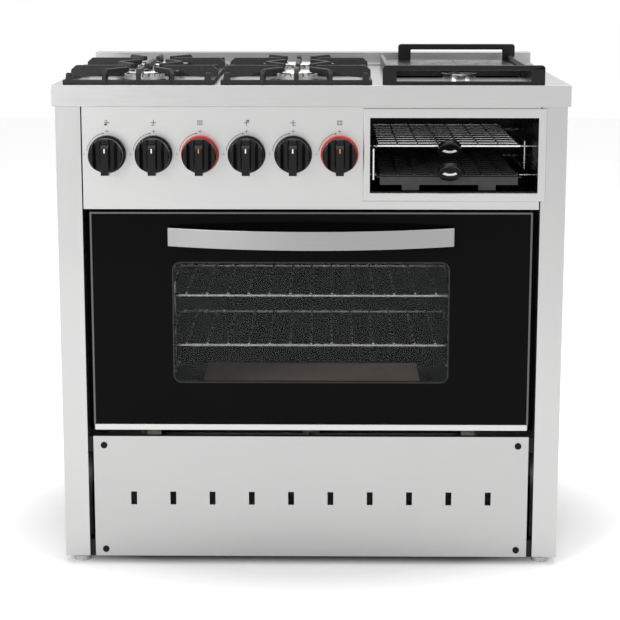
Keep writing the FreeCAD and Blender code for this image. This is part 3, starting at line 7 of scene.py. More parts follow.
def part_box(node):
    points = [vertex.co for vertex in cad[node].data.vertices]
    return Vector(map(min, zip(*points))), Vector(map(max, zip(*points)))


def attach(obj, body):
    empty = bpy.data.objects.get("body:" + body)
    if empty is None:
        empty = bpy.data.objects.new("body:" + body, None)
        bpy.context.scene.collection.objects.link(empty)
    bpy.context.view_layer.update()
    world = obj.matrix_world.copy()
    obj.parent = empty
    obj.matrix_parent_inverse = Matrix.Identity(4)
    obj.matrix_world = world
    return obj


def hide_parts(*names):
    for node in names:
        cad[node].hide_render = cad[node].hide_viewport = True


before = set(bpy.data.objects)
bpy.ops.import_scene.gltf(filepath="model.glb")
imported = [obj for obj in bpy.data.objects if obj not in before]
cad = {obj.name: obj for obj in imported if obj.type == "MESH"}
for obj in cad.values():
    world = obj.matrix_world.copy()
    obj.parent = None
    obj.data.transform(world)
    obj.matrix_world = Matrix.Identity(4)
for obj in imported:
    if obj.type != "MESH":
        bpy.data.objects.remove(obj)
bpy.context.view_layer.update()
bpy.ops.object.select_all(action="DESELECT")

# ---- Side panels, posts and rails ----------------------------------------------------------------------
# Two brushed stainless sheets, each folded round at the front into a post, close the sides of the body.
# Tubes run between them, coloured near-black as painted shade so the gap where they show reads dark; the rear
# sheet and the burner tubes are zinc-coated steel.


def new_finish(name, colour, roughness, metallic=0.0, gloss=0.5):
    """A material with its shader set; the nodes that vary it are added by its piece's section."""
    material = bpy.data.materials.new(name)
    material.use_nodes = True
    nodes, links = material.node_tree.nodes, material.node_tree.links
    shader = nodes["Principled BSDF"]
    shader.inputs["Base Color"].default_value = (*colour, 1.0)
    shader.inputs["Roughness"].default_value = roughness
    shader.inputs["Metallic"].default_value = metallic
    shader.inputs["Specular IOR Level"].default_value = gloss
    return material, shader, nodes, links


def place_pattern(nodes, links, scale=(1.0, 1.0, 1.0)):
    """The piece's own coordinates in metres, stretched by a scale for each axis."""
    coordinates = nodes.new("ShaderNodeTexCoord")
    stretch = nodes.new("ShaderNodeMapping")
    stretch.inputs["Scale"].default_value = scale
    links.new(coordinates.outputs["Object"], stretch.inputs["Vector"])
    return stretch.outputs["Vector"]


def noise_at(nodes, links, vector, scale, detail=3.0):
    """A noise pattern with a given number of features per metre."""
    noise = nodes.new("ShaderNodeTexNoise")
    noise.inputs["Scale"].default_value = scale
    noise.inputs["Detail"].default_value = detail
    links.new(vector, noise.inputs["Vector"])
    return noise.outputs["Fac"]


def spread(nodes, links, value, low, high, start=0.3, end=0.7):
    """A pattern's middle range mapped onto a range of values."""
    ramp = nodes.new("ShaderNodeMapRange")
    ramp.inputs["From Min"].default_value = start
    ramp.inputs["From Max"].default_value = end
    ramp.inputs["To Min"].default_value = low
    ramp.inputs["To Max"].default_value = high
    links.new(value, ramp.inputs["Value"])
    return ramp.outputs["Result"]


def shade_between(nodes, links, value, dark, light):
    """A colour that moves between two shades with a pattern."""
    mix = nodes.new("ShaderNodeMix")
    mix.data_type = "RGBA"
    mix.inputs["A"].default_value = (*dark, 1.0)
    mix.inputs["B"].default_value = (*light, 1.0)
    links.new(value, mix.inputs["Factor"])
    return mix.outputs["Result"]


def raise_grain(nodes, links, shader, value, strength, distance):
    """Relief from a pattern, in metres of height."""
    bump = nodes.new("ShaderNodeBump")
    bump.inputs["Strength"].default_value = strength
    bump.inputs["Distance"].default_value = distance
    links.new(value, bump.inputs["Height"])
    links.new(bump.outputs["Normal"], shader.inputs["Normal"])


brush_lines_across, brush_lines_along = 1100.0, 14.0


def brushed_stainless(name, grain, tone):
    """Stainless sheet with its brushing along one axis: 0 for X, 1 for Y, 2 for Z."""
    material, shader, nodes, links = new_finish(name, (tone, tone, tone * 0.99), 0.3, 1.0)
    scale = [brush_lines_across] * 3
    scale[grain] = brush_lines_along
    lines = noise_at(nodes, links, place_pattern(nodes, links, scale), 1.0, 2.0)
    clouds = noise_at(nodes, links, place_pattern(nodes, links), 5.0)
    links.new(spread(nodes, links, lines, 0.28, 0.35), shader.inputs["Roughness"])
    links.new(shade_between(nodes, links, clouds, (tone * 0.97,) * 3, (tone * 1.01, tone * 1.01, tone)),
              shader.inputs["Base Color"])
    raise_grain(nodes, links, shader, lines, 0.08, 0.00001)
    return material


def dress(names, material):
    """Gives CAD nodes their finish."""
    for name in names:
        cad[name].data.materials.clear()
        cad[name].data.materials.append(material)


smooth_limit = math.radians(35)
flat_limit = math.radians(0.8)
merge_distance = 0.00001


def break_edges(piece, width, segments=2, limit=28.0):
    """A small bevel on every edge, and normals that keep the flat faces flat."""
    bpy.ops.object.select_all(action="DESELECT")
    bpy.context.view_layer.objects.active = piece
    piece.select_set(True)
    bevel = piece.modifiers.new("edge", "BEVEL")
    bevel.width = width
    bevel.segments = segments
    bevel.limit_method = "ANGLE"
    bevel.angle_limit = math.radians(limit)
    bevel.use_clamp_overlap = False
    bpy.ops.object.modifier_apply(modifier=bevel.name)
    bpy.ops.object.shade_smooth_by_angle(angle=smooth_limit)
    even = piece.modifiers.new("even", "WEIGHTED_NORMAL")
    even.weight = 100
    even.keep_sharp = True
    bpy.ops.object.modifier_apply(modifier=even.name)
    piece.select_set(False)


def eased_copy(name, new_name, edge, segments=2, body="cooker_body"):
    """A node's shape as a finished piece: merged, its flat faces joined and its edges broken."""
    piece = bpy.data.objects.new(new_name, cad[name].data.copy())
    bpy.context.scene.collection.objects.link(piece)
    bpy.ops.object.select_all(action="DESELECT")
    bpy.context.view_layer.objects.active = piece
    piece.select_set(True)
    bpy.ops.object.mode_set(mode="EDIT")
    bpy.ops.mesh.select_all(action="SELECT")
    bpy.ops.mesh.remove_doubles(threshold=merge_distance)
    bpy.ops.mesh.dissolve_limited(angle_limit=flat_limit)
    bpy.ops.object.mode_set(mode="OBJECT")
    piece.data.materials.clear()
    if edge is not None:
        break_edges(piece, edge, segments)
    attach(piece, body)
    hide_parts(name)
    return piece


# Painted light and shade: the brushed stainless copies here and in the next sections are one steel, each
# given the tone its sheet looks in place, so their tones differ partly by painted light and shade.
upright_stainless = brushed_stainless("upright_brushed_stainless", 2, 0.51)
for side in ("left", "right"):
    panel = eased_copy("side_panel_" + side, "side_sheet_" + side, 0.0005)
    panel.data.materials.append(upright_stainless)

coated, coated_shader, nodes, links = new_finish("zinc_coated_steel", (0.5, 0.51, 0.52), 0.5, 0.85)
spangle = noise_at(nodes, links, place_pattern(nodes, links), 90.0, 4.0)
links.new(spread(nodes, links, spangle, 0.4, 0.62), coated_shader.inputs["Roughness"])
links.new(shade_between(nodes, links, spangle, (0.42, 0.43, 0.44), (0.56, 0.57, 0.58)),
          coated_shader.inputs["Base Color"])
dress(["back_panel", "levelling_feet", "gas_manifold", "oven_burner", "griddle_burner",
       "door_hinge_arms", "door_hinge_brackets"], coated)

# Painted shade: the rails get a near-black colour so the gap where they show reads dark.
rails_painted_shade, rails_shade_shader, nodes, links = new_finish("rails_painted_shade_black", (0.012, 0.012, 0.013), 0.6, gloss=0.1)
film = noise_at(nodes, links, place_pattern(nodes, links), 700.0)
raise_grain(nodes, links, rails_shade_shader, film, 0.3, 0.0001)
links.new(spread(nodes, links, film, 0.52, 0.68), rails_shade_shader.inputs["Roughness"])
dress(["frame_rails"], rails_painted_shade)

# ---- Hob rim, hob sheet and backguard ------------------------------------------------------------------
# The rim is a folded stainless band that laps over the body; the pressed hob sheet lies inside it.
# A low folded upstand is spot-welded along the rear edge.
# Painted light and shade: the rim's and the upstand's tones are set to how bright each looks, partly the
# steel's own tone and partly painted light and shade.
level_stainless = brushed_stainless("level_brushed_stainless", 0, 0.53)
rim = eased_copy("hob_rim", "hob_rim_band", 0.0009)
rim.data.materials.append(level_stainless)
guard = eased_copy("backguard", "rear_upstand", 0.0006)
guard.data.materials.append(brushed_stainless("rear_brushed_stainless", 0, 0.46))
dress(["hob_sheet"], level_stainless)

# ---- Control panel, compartment bezel and lower panel --------------------------------------------------
# Stainless front sheets with folded edges; the bezel is a raised frame round the grill compartment.
# The lower panel has ten slots and comes off after its four black push fasteners are pulled.
# Painted shade in part: the lower panel's stainless is darker than the control panel's because it looks
# darker, partly painted shade.
front_stainless = brushed_stainless("front_brushed_stainless", 0, 0.555)
front_panel = eased_copy("control_panel", "control_front", 0.0004)
front_panel.data.materials.append(front_stainless)
bezel = eased_copy("compartment_bezel", "compartment_surround", 0.0006)
bezel.data.materials.append(front_stainless)
lower = eased_copy("lower_panel", "lower_front", 0.0004)
lower.data.materials.append(brushed_stainless("lower_brushed_stainless", 0, 0.45))

satin_black, satin_shader, nodes, links = new_finish("satin_black_plastic", (0.005, 0.005, 0.0055), 0.5,
                                                     gloss=0.12)
orange_peel = noise_at(nodes, links, place_pattern(nodes, links), 1500.0, 2.0)
raise_grain(nodes, links, satin_shader, orange_peel, 0.25, 0.00005)
dress(["panel_fasteners"], satin_black)

# ---- Marks printed on the control panel ----------------------------------------------------------------
# Black ink, screen-printed: over each knob a plain picture of what it feeds, a plus sign, and an arc with
# an arrowhead that shows the way it turns. A dot and a short dash lie left of the knob and under it.
ink, ink_shader, nodes, links = new_finish("printed_black_ink", (0.02, 0.02, 0.02), 0.5, gloss=0.2)
thinning = noise_at(nodes, links, place_pattern(nodes, links), 1800.0, 2.0)
links.new(shade_between(nodes, links, thinning, (0.012, 0.012, 0.012), (0.05, 0.05, 0.05)),
          ink_shader.inputs["Base Color"])
raise_grain(nodes, links, ink_shader, thinning, 0.2, 0.00002)

panel_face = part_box("control_panel")[0].y
knob_boxes = [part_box("knob_%d" % number) for number in range(1, 7)]
knob_places = [(low.x + high.x) / 2 for low, high in knob_boxes]
knob_height = 0.750
ink_depth = 0.0003
arc_radius = 0.0365
arc_thickness = 0.00042
arc_flatness = 0.4
arc_start, arc_end = math.radians(172), math.radians(101)
arrow_radius = 0.0019
arrow_turn = math.radians(79)
plus_height, plus_size = 0.0395, 0.0062
stroke = 0.0007
dot, dash = 0.0012, 0.0028
left_mark_x, low_mark_z = -0.0405, -0.0375
left_dot_z, left_dash_z = 0.0012, -0.0016
low_mark_apart = 0.002
picture_height = 0.0545


def printed_bar(x, z, width, height):
    """One straight stroke or filled square of the print, its middle given from the knob's."""
    bpy.ops.mesh.primitive_cube_add(size=1.0, location=(x, panel_face, knob_height + z))
    bar = bpy.context.active_object
    bar.scale = (width, ink_depth, height)
    bpy.ops.object.transform_apply(location=True, rotation=True, scale=True)
    return bar


def keep_side(piece, point, direction):
    """Cuts a piece along a plane and closes it; what lies in the direction goes."""
    bpy.context.view_layer.objects.active = piece
    bpy.ops.object.mode_set(mode="EDIT")
    bpy.ops.mesh.select_all(action="SELECT")
    bpy.ops.mesh.bisect(plane_co=point, plane_no=direction, use_fill=True, clear_outer=True)
    bpy.ops.object.mode_set(mode="OBJECT")


def printed_arc(x):
    """The quarter arc from nine o'clock to twelve, with its arrowhead."""
    bpy.ops.mesh.primitive_torus_add(location=(x, panel_face, knob_height), rotation=(math.pi / 2, 0, 0),
                                     major_segments=96, minor_segments=8, major_radius=arc_radius,
                                     minor_radius=arc_thickness)
    arc = bpy.context.active_object
    arc.scale = (1.0, 1.0, arc_flatness)
    bpy.ops.object.transform_apply(location=True, rotation=True, scale=True)
    keep_side(arc, (x, 0, knob_height), (math.sin(arc_end), 0, -math.cos(arc_end)))
    keep_side(arc, (x, 0, knob_height), (-math.sin(arc_start), 0, math.cos(arc_start)))
    bpy.ops.mesh.primitive_cylinder_add(vertices=3, radius=arrow_radius, depth=ink_depth,
                                        location=(x + arc_radius * math.cos(arc_end), panel_face,
                                                  knob_height + arc_radius * math.sin(arc_end)),
                                        rotation=(math.pi / 2, arrow_turn, 0))
    head = bpy.context.active_object
    bpy.ops.object.transform_apply(location=True, rotation=True, scale=True)
    return [arc, head]


def joined(pieces, name):
    """Several meshes made one piece."""
    bpy.ops.object.select_all(action="DESELECT")
    for piece in pieces:
        piece.select_set(True)
    bpy.context.view_layer.objects.active = pieces[0]
    bpy.ops.object.join()
    whole = bpy.context.active_object
    whole.name = name
    whole.select_set(False)
    return whole


def copied(piece, name, shift):
    """A copy of a piece with its own mesh, moved by a shift."""
    twin = bpy.data.objects.new(name, piece.data.copy())
    twin.data.transform(Matrix.Translation(shift))
    bpy.context.scene.collection.objects.link(twin)
    return twin


first = knob_places[0]
strokes = printed_arc(first)
for x, z, width, height in ((first, plus_height, plus_size, stroke),
                            (first, plus_height, stroke, plus_size),
                            (first + left_mark_x, left_dot_z, dot, dot),
                            (first + left_mark_x, left_dash_z, dash, stroke),
                            (first - low_mark_apart, low_mark_z, dot, dot),
                            (first + low_mark_apart, low_mark_z, dash, stroke)):
    strokes.append(printed_bar(x, z, width, height))
turn_marks = [joined(strokes, "turn_mark_1")]
turn_marks += [copied(turn_marks[0], "turn_mark_%d" % (i + 1), (x - first, 0, 0))
               for i, x in enumerate(knob_places) if i > 0]

# Each stroke of a picture: across, up, width and height in metres, from the picture's middle.
cross = [(0.0, 0.0, 0.0095, 0.0011), (0.0, 0.0, 0.0011, 0.0105)]
box_picture = [(0.0, 0.0035, 0.0085, 0.0009), (0.0, -0.0035, 0.0085, 0.0009),
               (-0.0038, 0.0, 0.0009, 0.0079), (0.0038, 0.0, 0.0009, 0.0079)]
pictures = {1: cross + [(-0.0028, -0.0032, 0.0032, 0.0032), (-0.0028, 0.0036, 0.0018, 0.0012)],
            2: cross + [(-0.0024, -0.0045, 0.0036, 0.0010)],
            3: box_picture + [(0.0, 0.0014, 0.0068, 0.0008), (0.0, -0.0010, 0.0040, 0.0010)],
            4: cross + [(0.0028, 0.0034, 0.0032, 0.0032)],
            5: cross + [(0.0024, -0.0045, 0.0036, 0.0010)],
            6: box_picture + [(-0.0016, 0.0, 0.0008, 0.0060), (0.0016, 0.0, 0.0008, 0.0060)]}
pictures_done = []
for number, strokes in pictures.items():
    x = knob_places[number - 1]
    bars = [printed_bar(x + across, picture_height + up, width, height)
            for across, up, width, height in strokes]
    pictures_done.append(joined(bars, "feed_picture_%d" % number))
for piece in turn_marks + pictures_done:
    piece.data.materials.clear()
    piece.data.materials.append(ink)
    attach(piece, "cooker_body")

# ---- Oven: liner, floor, frame, seal and insulation ----------------------------------------------------
# The cavity is pressed steel under near-black vitreous enamel with a few fine grey specks; the frame of
# its mouth is plain black.
# A woven glass-fibre seal lies round its mouth, and mineral-wool boards wrap the outside.
speckled, speckled_shader, nodes, links = new_finish("speckled_enamel", (0.003, 0.003, 0.0035), 0.35,
                                                     gloss=0.06)
space = place_pattern(nodes, links)
speck = spread(nodes, links, noise_at(nodes, links, space, 1100.0, 1.0), 0.0, 1.0, 0.76, 0.84)
links.new(shade_between(nodes, links, speck, (0.003, 0.003, 0.0035), (0.02, 0.021, 0.023)),
          speckled_shader.inputs["Base Color"])
raise_grain(nodes, links, speckled_shader, noise_at(nodes, links, space, 60.0), 0.03, 0.0002)
dress(["oven_liner", "oven_floor"], speckled)

plain_black, plain_shader, nodes, links = new_finish("plain_black_enamel", (0.002, 0.002, 0.0022), 0.5,
                                                     gloss=0.05)
ripple = noise_at(nodes, links, place_pattern(nodes, links), 130.0)
raise_grain(nodes, links, plain_shader, ripple, 0.1, 0.0002)
links.new(spread(nodes, links, ripple, 0.42, 0.58), plain_shader.inputs["Roughness"])
dress(["oven_front_frame"], plain_black)

seal_cord, seal_shader, nodes, links = new_finish("woven_seal", (0.06, 0.06, 0.06), 0.9, gloss=0.1)
braid = nodes.new("ShaderNodeTexWave")
braid.inputs["Scale"].default_value = 220.0
braid.inputs["Distortion"].default_value = 1.5
links.new(place_pattern(nodes, links), braid.inputs["Vector"])
raise_grain(nodes, links, seal_shader, braid.outputs["Fac"], 0.6, 0.0004)
links.new(shade_between(nodes, links, braid.outputs["Fac"], (0.03, 0.03, 0.03), (0.1, 0.1, 0.1)),
          seal_shader.inputs["Base Color"])
dress(["door_seal"], seal_cord)

wool, wool_shader, nodes, links = new_finish("mineral_wool", (0.62, 0.58, 0.48), 0.95, gloss=0.1)
fibres = noise_at(nodes, links, place_pattern(nodes, links), 260.0, 6.0)
links.new(shade_between(nodes, links, fibres, (0.5, 0.46, 0.36), (0.72, 0.68, 0.58)),
          wool_shader.inputs["Base Color"])
raise_grain(nodes, links, wool_shader, fibres, 0.8, 0.002)
dress(["oven_insulation"], wool)

# ---- Oven racks, side rails and baking stone -----------------------------------------------------------
# Racks and ladders are welded steel wire under bright plating; they slide on the ladders' ledges.
# The stone is a fired refractory slab with dark grog in it, loose on the oven floor.
plated, plated_shader, nodes, links = new_finish("plated_wire", (0.78, 0.78, 0.77), 0.2, 1.0)
tarnish = noise_at(nodes, links, place_pattern(nodes, links), 60.0)
links.new(spread(nodes, links, tarnish, 0.16, 0.34), plated_shader.inputs["Roughness"])
links.new(shade_between(nodes, links, tarnish, (0.66, 0.66, 0.65), (0.88, 0.88, 0.87)),
          plated_shader.inputs["Base Color"])
dress(["oven_side_rails", "oven_rack_upper", "oven_rack_lower", "compartment_rails", "grill_rack"], plated)

fired, fired_shader, nodes, links = new_finish("fired_refractory", (0.4, 0.27, 0.21), 0.92, gloss=0.15)
space = place_pattern(nodes, links)
body_tone = shade_between(nodes, links, noise_at(nodes, links, space, 30.0, 5.0), (0.72, 0.56, 0.47),
                          (0.86, 0.71, 0.61))
grog = nodes.new("ShaderNodeTexVoronoi")
grog.inputs["Scale"].default_value = 260.0
links.new(space, grog.inputs["Vector"])
speckle = nodes.new("ShaderNodeMix")
speckle.data_type = "RGBA"
speckle.inputs["A"].default_value = (0.3, 0.21, 0.17, 1.0)
links.new(spread(nodes, links, grog.outputs["Distance"], 0.0, 1.0, 0.1, 0.24), speckle.inputs["Factor"])
links.new(body_tone, speckle.inputs["B"])
links.new(speckle.outputs["Result"], fired_shader.inputs["Base Color"])
raise_grain(nodes, links, fired_shader, noise_at(nodes, links, space, 500.0, 5.0), 0.5, 0.0006)
dress(["baking_stone"], fired)

# ---- Oven door -----------------------------------------------------------------------------------------
# A pressed dark steel body with a bright strip under it carries two panes: black-enamelled glass with a
# clear window outside, clear glass inside. The handle is a bowed flat bar on two turned posts.
door = eased_copy("door_frame", "door_body", 0.0005, body="oven_door")
door.data.materials.append(brushed_stainless("door_body_dark_steel", 0, 0.12))
strip = eased_copy("door_bottom_trim", "door_lower_strip", 0.0006, body="oven_door")
strip.data.materials.append(front_stainless)
bar = eased_copy("door_handle", "door_bowed_bar", 0.0012, 3, body="oven_door")
# Painted shade in part: the handle's stainless gets the darker tone it looks, partly painted shade.
bar.data.materials.append(brushed_stainless("handle_brushed_stainless", 0, 0.33))
dress(["door_handle_posts"], front_stainless)

window_half_width = 0.244
window_low, window_high = 0.340, 0.5575
window_corner = 0.014
same_place = 1e-6


def window_block(name, grow, y_low, y_high):
    """A block with the window's rounded outline, grown by a margin."""
    half = window_half_width + grow
    middle = (window_low + window_high) / 2
    bpy.ops.mesh.primitive_cube_add(size=1.0, location=(0, (y_low + y_high) / 2, middle))
    shaped = bpy.context.active_object
    shaped.name = name
    shaped.scale = (2 * half, y_high - y_low, window_high - window_low + 2 * grow)
    bpy.ops.object.transform_apply(location=True, rotation=True, scale=True)
    bpy.ops.object.mode_set(mode="EDIT")
    bpy.ops.mesh.select_mode(type="EDGE")
    bpy.ops.mesh.select_all(action="DESELECT")
    bpy.ops.object.mode_set(mode="OBJECT")
    for edge in shaped.data.edges:
        a, b = (shaped.data.vertices[i].co for i in edge.vertices)
        edge.select = abs(a.x - b.x) < same_place and abs(a.z - b.z) < same_place
    bpy.ops.object.mode_set(mode="EDIT")
    bpy.ops.mesh.bevel(offset=window_corner + grow, segments=8)
    bpy.ops.object.mode_set(mode="OBJECT")
    return shaped


def cut_from(piece, tool):
    """Cuts one piece out of another and removes the tool."""
    bpy.ops.object.select_all(action="DESELECT")
    bpy.context.view_layer.objects.active = piece
    piece.select_set(True)
    cut = piece.modifiers.new("opening", "BOOLEAN")
    cut.operation = "DIFFERENCE"
    cut.solver = "EXACT"
    cut.object = tool
    bpy.ops.object.modifier_apply(modifier=cut.name)
    bpy.data.objects.remove(tool)


tool_reach = 0.01
pane_gap, pane_inset = 0.0002, 0.0003
print_width, print_proud, print_sunk = 0.0011, 0.0001, 0.0002
glass_low, glass_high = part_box("door_outer_glass")
border = eased_copy("door_outer_glass", "door_glass_border", None, body="oven_door")
cut_from(border, window_block("border_tool", 0.0, glass_low.y - tool_reach, glass_high.y + tool_reach))
break_edges(border, 0.0006)
black_glass, black_shader, nodes, links = new_finish("black_enamelled_glass", (0.002, 0.002, 0.0022), 0.05,
                                                     gloss=0.04)
streaks = noise_at(nodes, links, place_pattern(nodes, links), 9.0, 4.0)
links.new(spread(nodes, links, streaks, 0.035, 0.08), black_shader.inputs["Roughness"])
links.new(shade_between(nodes, links, streaks, (0.0018, 0.0018, 0.002), (0.0032, 0.0032, 0.0035)),
          black_shader.inputs["Base Color"])
border.data.materials.append(black_glass)

pane = window_block("door_window_pane", -pane_gap, glass_low.y + pane_inset, glass_high.y - pane_inset)
clear, clear_shader, nodes, links = new_finish("clear_tempered_glass", (0.03, 0.033, 0.033), 0.02, gloss=0.3)
clear_shader.inputs["Alpha"].default_value = 0.12
smears = noise_at(nodes, links, place_pattern(nodes, links), 12.0, 4.0)
links.new(spread(nodes, links, smears, 0.01, 0.05), clear_shader.inputs["Roughness"])
pane.data.materials.append(clear)
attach(pane, "oven_door")
dress(["door_inner_glass"], clear)

dotted = window_block("window_print_line", print_width, glass_low.y - print_proud, glass_low.y + print_sunk)
cut_from(dotted, window_block("line_tool", -print_width, glass_low.y - tool_reach, glass_low.y + tool_reach))
frit, frit_shader, nodes, links = new_finish("dotted_enamel_line", (0.03, 0.03, 0.03), 0.4, gloss=0.2)
dots = nodes.new("ShaderNodeTexVoronoi")
dots.inputs["Scale"].default_value = 900.0
links.new(place_pattern(nodes, links), dots.inputs["Vector"])
dot_tone = shade_between(nodes, links, dots.outputs["Distance"], (0.045, 0.045, 0.046), (0.008, 0.008, 0.008))
links.new(dot_tone, frit_shader.inputs["Base Color"])
raise_grain(nodes, links, frit_shader, dots.outputs["Distance"], 0.3, 0.00005)
dotted.data.materials.append(frit)
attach(dotted, "oven_door")

# ---- Grill compartment ---------------------------------------------------------------------------------
# A black enamelled box behind the bezel; its rack and its drip tray slide on plated wire rails. Both carry
# a round black pull that faces forward and down, with a pale crescent on its face: a painted reflection of a
# strip of light.
enamel, enamel_shader, nodes, links = new_finish("black_vitreous_enamel", (0.008, 0.008, 0.009), 0.22,
                                                 gloss=0.25)
space = place_pattern(nodes, links)
links.new(spread(nodes, links, noise_at(nodes, links, space, 40.0, 5.0), 0.14, 0.34),
          enamel_shader.inputs["Roughness"])
raise_grain(nodes, links, enamel_shader, noise_at(nodes, links, space, 180.0, 3.0), 0.12, 0.0003)
dress(["compartment_liner", "burner_cups"], enamel)

tray_enamel, tray_shader, nodes, links = new_finish("satin_tray_enamel", (0.03, 0.03, 0.031), 0.38,
                                                    gloss=0.35)
space = place_pattern(nodes, links)
scuffs = noise_at(nodes, links, space, 90.0, 5.0)
links.new(shade_between(nodes, links, scuffs, (0.02, 0.02, 0.021), (0.045, 0.045, 0.046)),
          tray_shader.inputs["Base Color"])
links.new(spread(nodes, links, scuffs, 0.3, 0.48), tray_shader.inputs["Roughness"])
raise_grain(nodes, links, tray_shader, noise_at(nodes, links, space, 400.0, 3.0), 0.15, 0.0002)
dress(["drip_tray", "tray_grid"], tray_enamel)

moulded, moulded_shader, nodes, links = new_finish("moulded_gloss_black", (0.006, 0.006, 0.0065), 0.16,
                                                   gloss=0.22)
space = place_pattern(nodes, links)
links.new(spread(nodes, links, noise_at(nodes, links, space, 200.0), 0.12, 0.22),
          moulded_shader.inputs["Roughness"])
raise_grain(nodes, links, moulded_shader, noise_at(nodes, links, space, 900.0, 2.0), 0.06, 0.0001)
dress(["grill_rack_pull", "drip_tray_pull"], moulded)

# Painted reflection: the pale crescents on the pulls stand in for a strip of light mirrored in their glossy
# faces.
crescent_painted_reflection, reflection_paint_shader, nodes, links = new_finish("pale_painted_reflection", (0.85, 0.85, 0.84), 0.35)
flow = noise_at(nodes, links, place_pattern(nodes, links), 300.0)
links.new(shade_between(nodes, links, flow, (0.8, 0.8, 0.79), (0.9, 0.9, 0.89)),
          reflection_paint_shader.inputs["Base Color"])
raise_grain(nodes, links, reflection_paint_shader, flow, 0.1, 0.00005)

pull_tilt = math.radians(45)
face_out = Vector((0, -math.cos(pull_tilt), -math.sin(pull_tilt)))
face_up = Vector((0, -math.sin(pull_tilt), math.cos(pull_tilt)))
crescent_radius, crescent_thickness = 0.016, 0.0030
crescent_drop = 0.002
crescent_flatness = 0.12
half_span = math.radians(44)
pull_faces = {"grill_rack": (-0.262, 0.755), "drip_tray": (-0.2775, 0.717)}
for body, (face_y, face_z) in pull_faces.items():
    low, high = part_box(body + "_pull")
    centre = Vector(((low.x + high.x) / 2, face_y, face_z)) + face_up * (crescent_radius - crescent_drop)
    bpy.ops.mesh.primitive_torus_add(location=centre, rotation=(math.pi / 2 + pull_tilt, 0, 0),
                                     major_segments=72, minor_segments=12, major_radius=crescent_radius,
                                     minor_radius=crescent_thickness)
    crescent = bpy.context.active_object
    crescent.name = body + "_pull_crescent"
    crescent.scale = (1.0, 1.0, crescent_flatness)
    bpy.ops.object.transform_apply(location=True, rotation=True, scale=True)
    for way in (-1, 1):
        outward = Vector((way * math.cos(half_span), 0, 0)) + face_up * math.sin(half_span)
        keep_side(crescent, centre, outward)
    bpy.ops.object.shade_smooth_by_angle(angle=math.radians(40))
    crescent.data.materials.append(crescent_painted_reflection)
    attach(crescent, body)

# ---- Gas line ------------------------------------------------------------------------------------------
# Brass taps on a coated manifold behind the control panel feed the burners through thin brass-coloured
# pipes. The inlet's threaded end comes out of the rear sheet.
gas_brass, brass_shader, nodes, links = new_finish("machined_brass", (0.62, 0.45, 0.2), 0.32, 1.0)
dulling = noise_at(nodes, links, place_pattern(nodes, links), 70.0, 4.0)
links.new(spread(nodes, links, dulling, 0.24, 0.44), brass_shader.inputs["Roughness"])
links.new(shade_between(nodes, links, dulling, (0.5, 0.35, 0.15), (0.66, 0.49, 0.24)),
          brass_shader.inputs["Base Color"])
dress(["gas_valves", "gas_inlet", "supply_pipes"], gas_brass)

# ---- Hob burners ---------------------------------------------------------------------------------------
# Each burner is an enamelled cup in the hob, a slotted head cast in light alloy and a polished loose cap.
cast_alloy, alloy_shader, nodes, links = new_finish("cast_burner_alloy", (0.55, 0.55, 0.54), 0.5, 0.9)
pores = noise_at(nodes, links, place_pattern(nodes, links), 700.0, 4.0)
links.new(shade_between(nodes, links, pores, (0.4, 0.4, 0.39), (0.6, 0.6, 0.59)),
          alloy_shader.inputs["Base Color"])
raise_grain(nodes, links, alloy_shader, pores, 0.3, 0.0003)
dress(["burner_heads"], cast_alloy)
polish, polish_shader, nodes, links = new_finish("polished_steel", (0.8, 0.8, 0.79), 0.1, 1.0)
turning = noise_at(nodes, links, place_pattern(nodes, links), 140.0, 3.0)
links.new(spread(nodes, links, turning, 0.06, 0.16), polish_shader.inputs["Roughness"])
dress(["burner_caps", "grease_cup"], polish)

# ---- Cast-iron grates ----------------------------------------------------------------------------------
# Two sand-cast frames with fingers and deep side fins, under matt black enamel, loose on the hob.
# The casting skin is grainy, and the enamel is thin and dull grey here and there.
iron, iron_shader, nodes, links = new_finish("enamelled_cast_iron", (0.008, 0.008, 0.009), 0.5, gloss=0.3)
space = place_pattern(nodes, links)
skin = noise_at(nodes, links, space, 420.0, 6.0)
thin_spots = spread(nodes, links, noise_at(nodes, links, space, 900.0, 3.0), 0.0, 1.0, 0.52, 0.72)
links.new(shade_between(nodes, links, thin_spots, (0.005, 0.005, 0.0055), (0.05, 0.05, 0.052)),
          iron_shader.inputs["Base Color"])
links.new(spread(nodes, links, skin, 0.36, 0.6), iron_shader.inputs["Roughness"])
raise_grain(nodes, links, iron_shader, skin, 0.5, 0.0006)
for place in ("left", "middle"):
    grate = "grate_" + place
    casting = eased_copy(grate, "casting_" + place, 0.0012, body=grate)
    casting.data.materials.append(iron)

# ---- Griddle -------------------------------------------------------------------------------------------
# An enamelled frame with two flat carrying handles holds two loose plates over the right-hand burner.
# The polished cup in front of the plates hangs by its collar and catches the fat.
griddle_enamel, griddle_shader, nodes, links = new_finish("griddle_enamel", (0.007, 0.007, 0.0075), 0.26,
                                                          gloss=0.25)
space = place_pattern(nodes, links)
links.new(spread(nodes, links, noise_at(nodes, links, space, 50.0, 5.0), 0.18, 0.34),
          griddle_shader.inputs["Roughness"])
raise_grain(nodes, links, griddle_shader, noise_at(nodes, links, space, 700.0, 4.0), 0.12, 0.0002)
for name, new_name in (("griddle_frame", "griddle_surround"), ("griddle_handles", "griddle_grips")):
    piece = eased_copy(name, new_name, 0.0012, body="griddle")
    piece.data.materials.append(griddle_enamel)
for place in ("left", "right"):
    plate = eased_copy("griddle_plate_" + place, "cooking_plate_" + place, 0.0006,
                       body="griddle_plate_" + place)
    plate.data.materials.append(griddle_enamel)

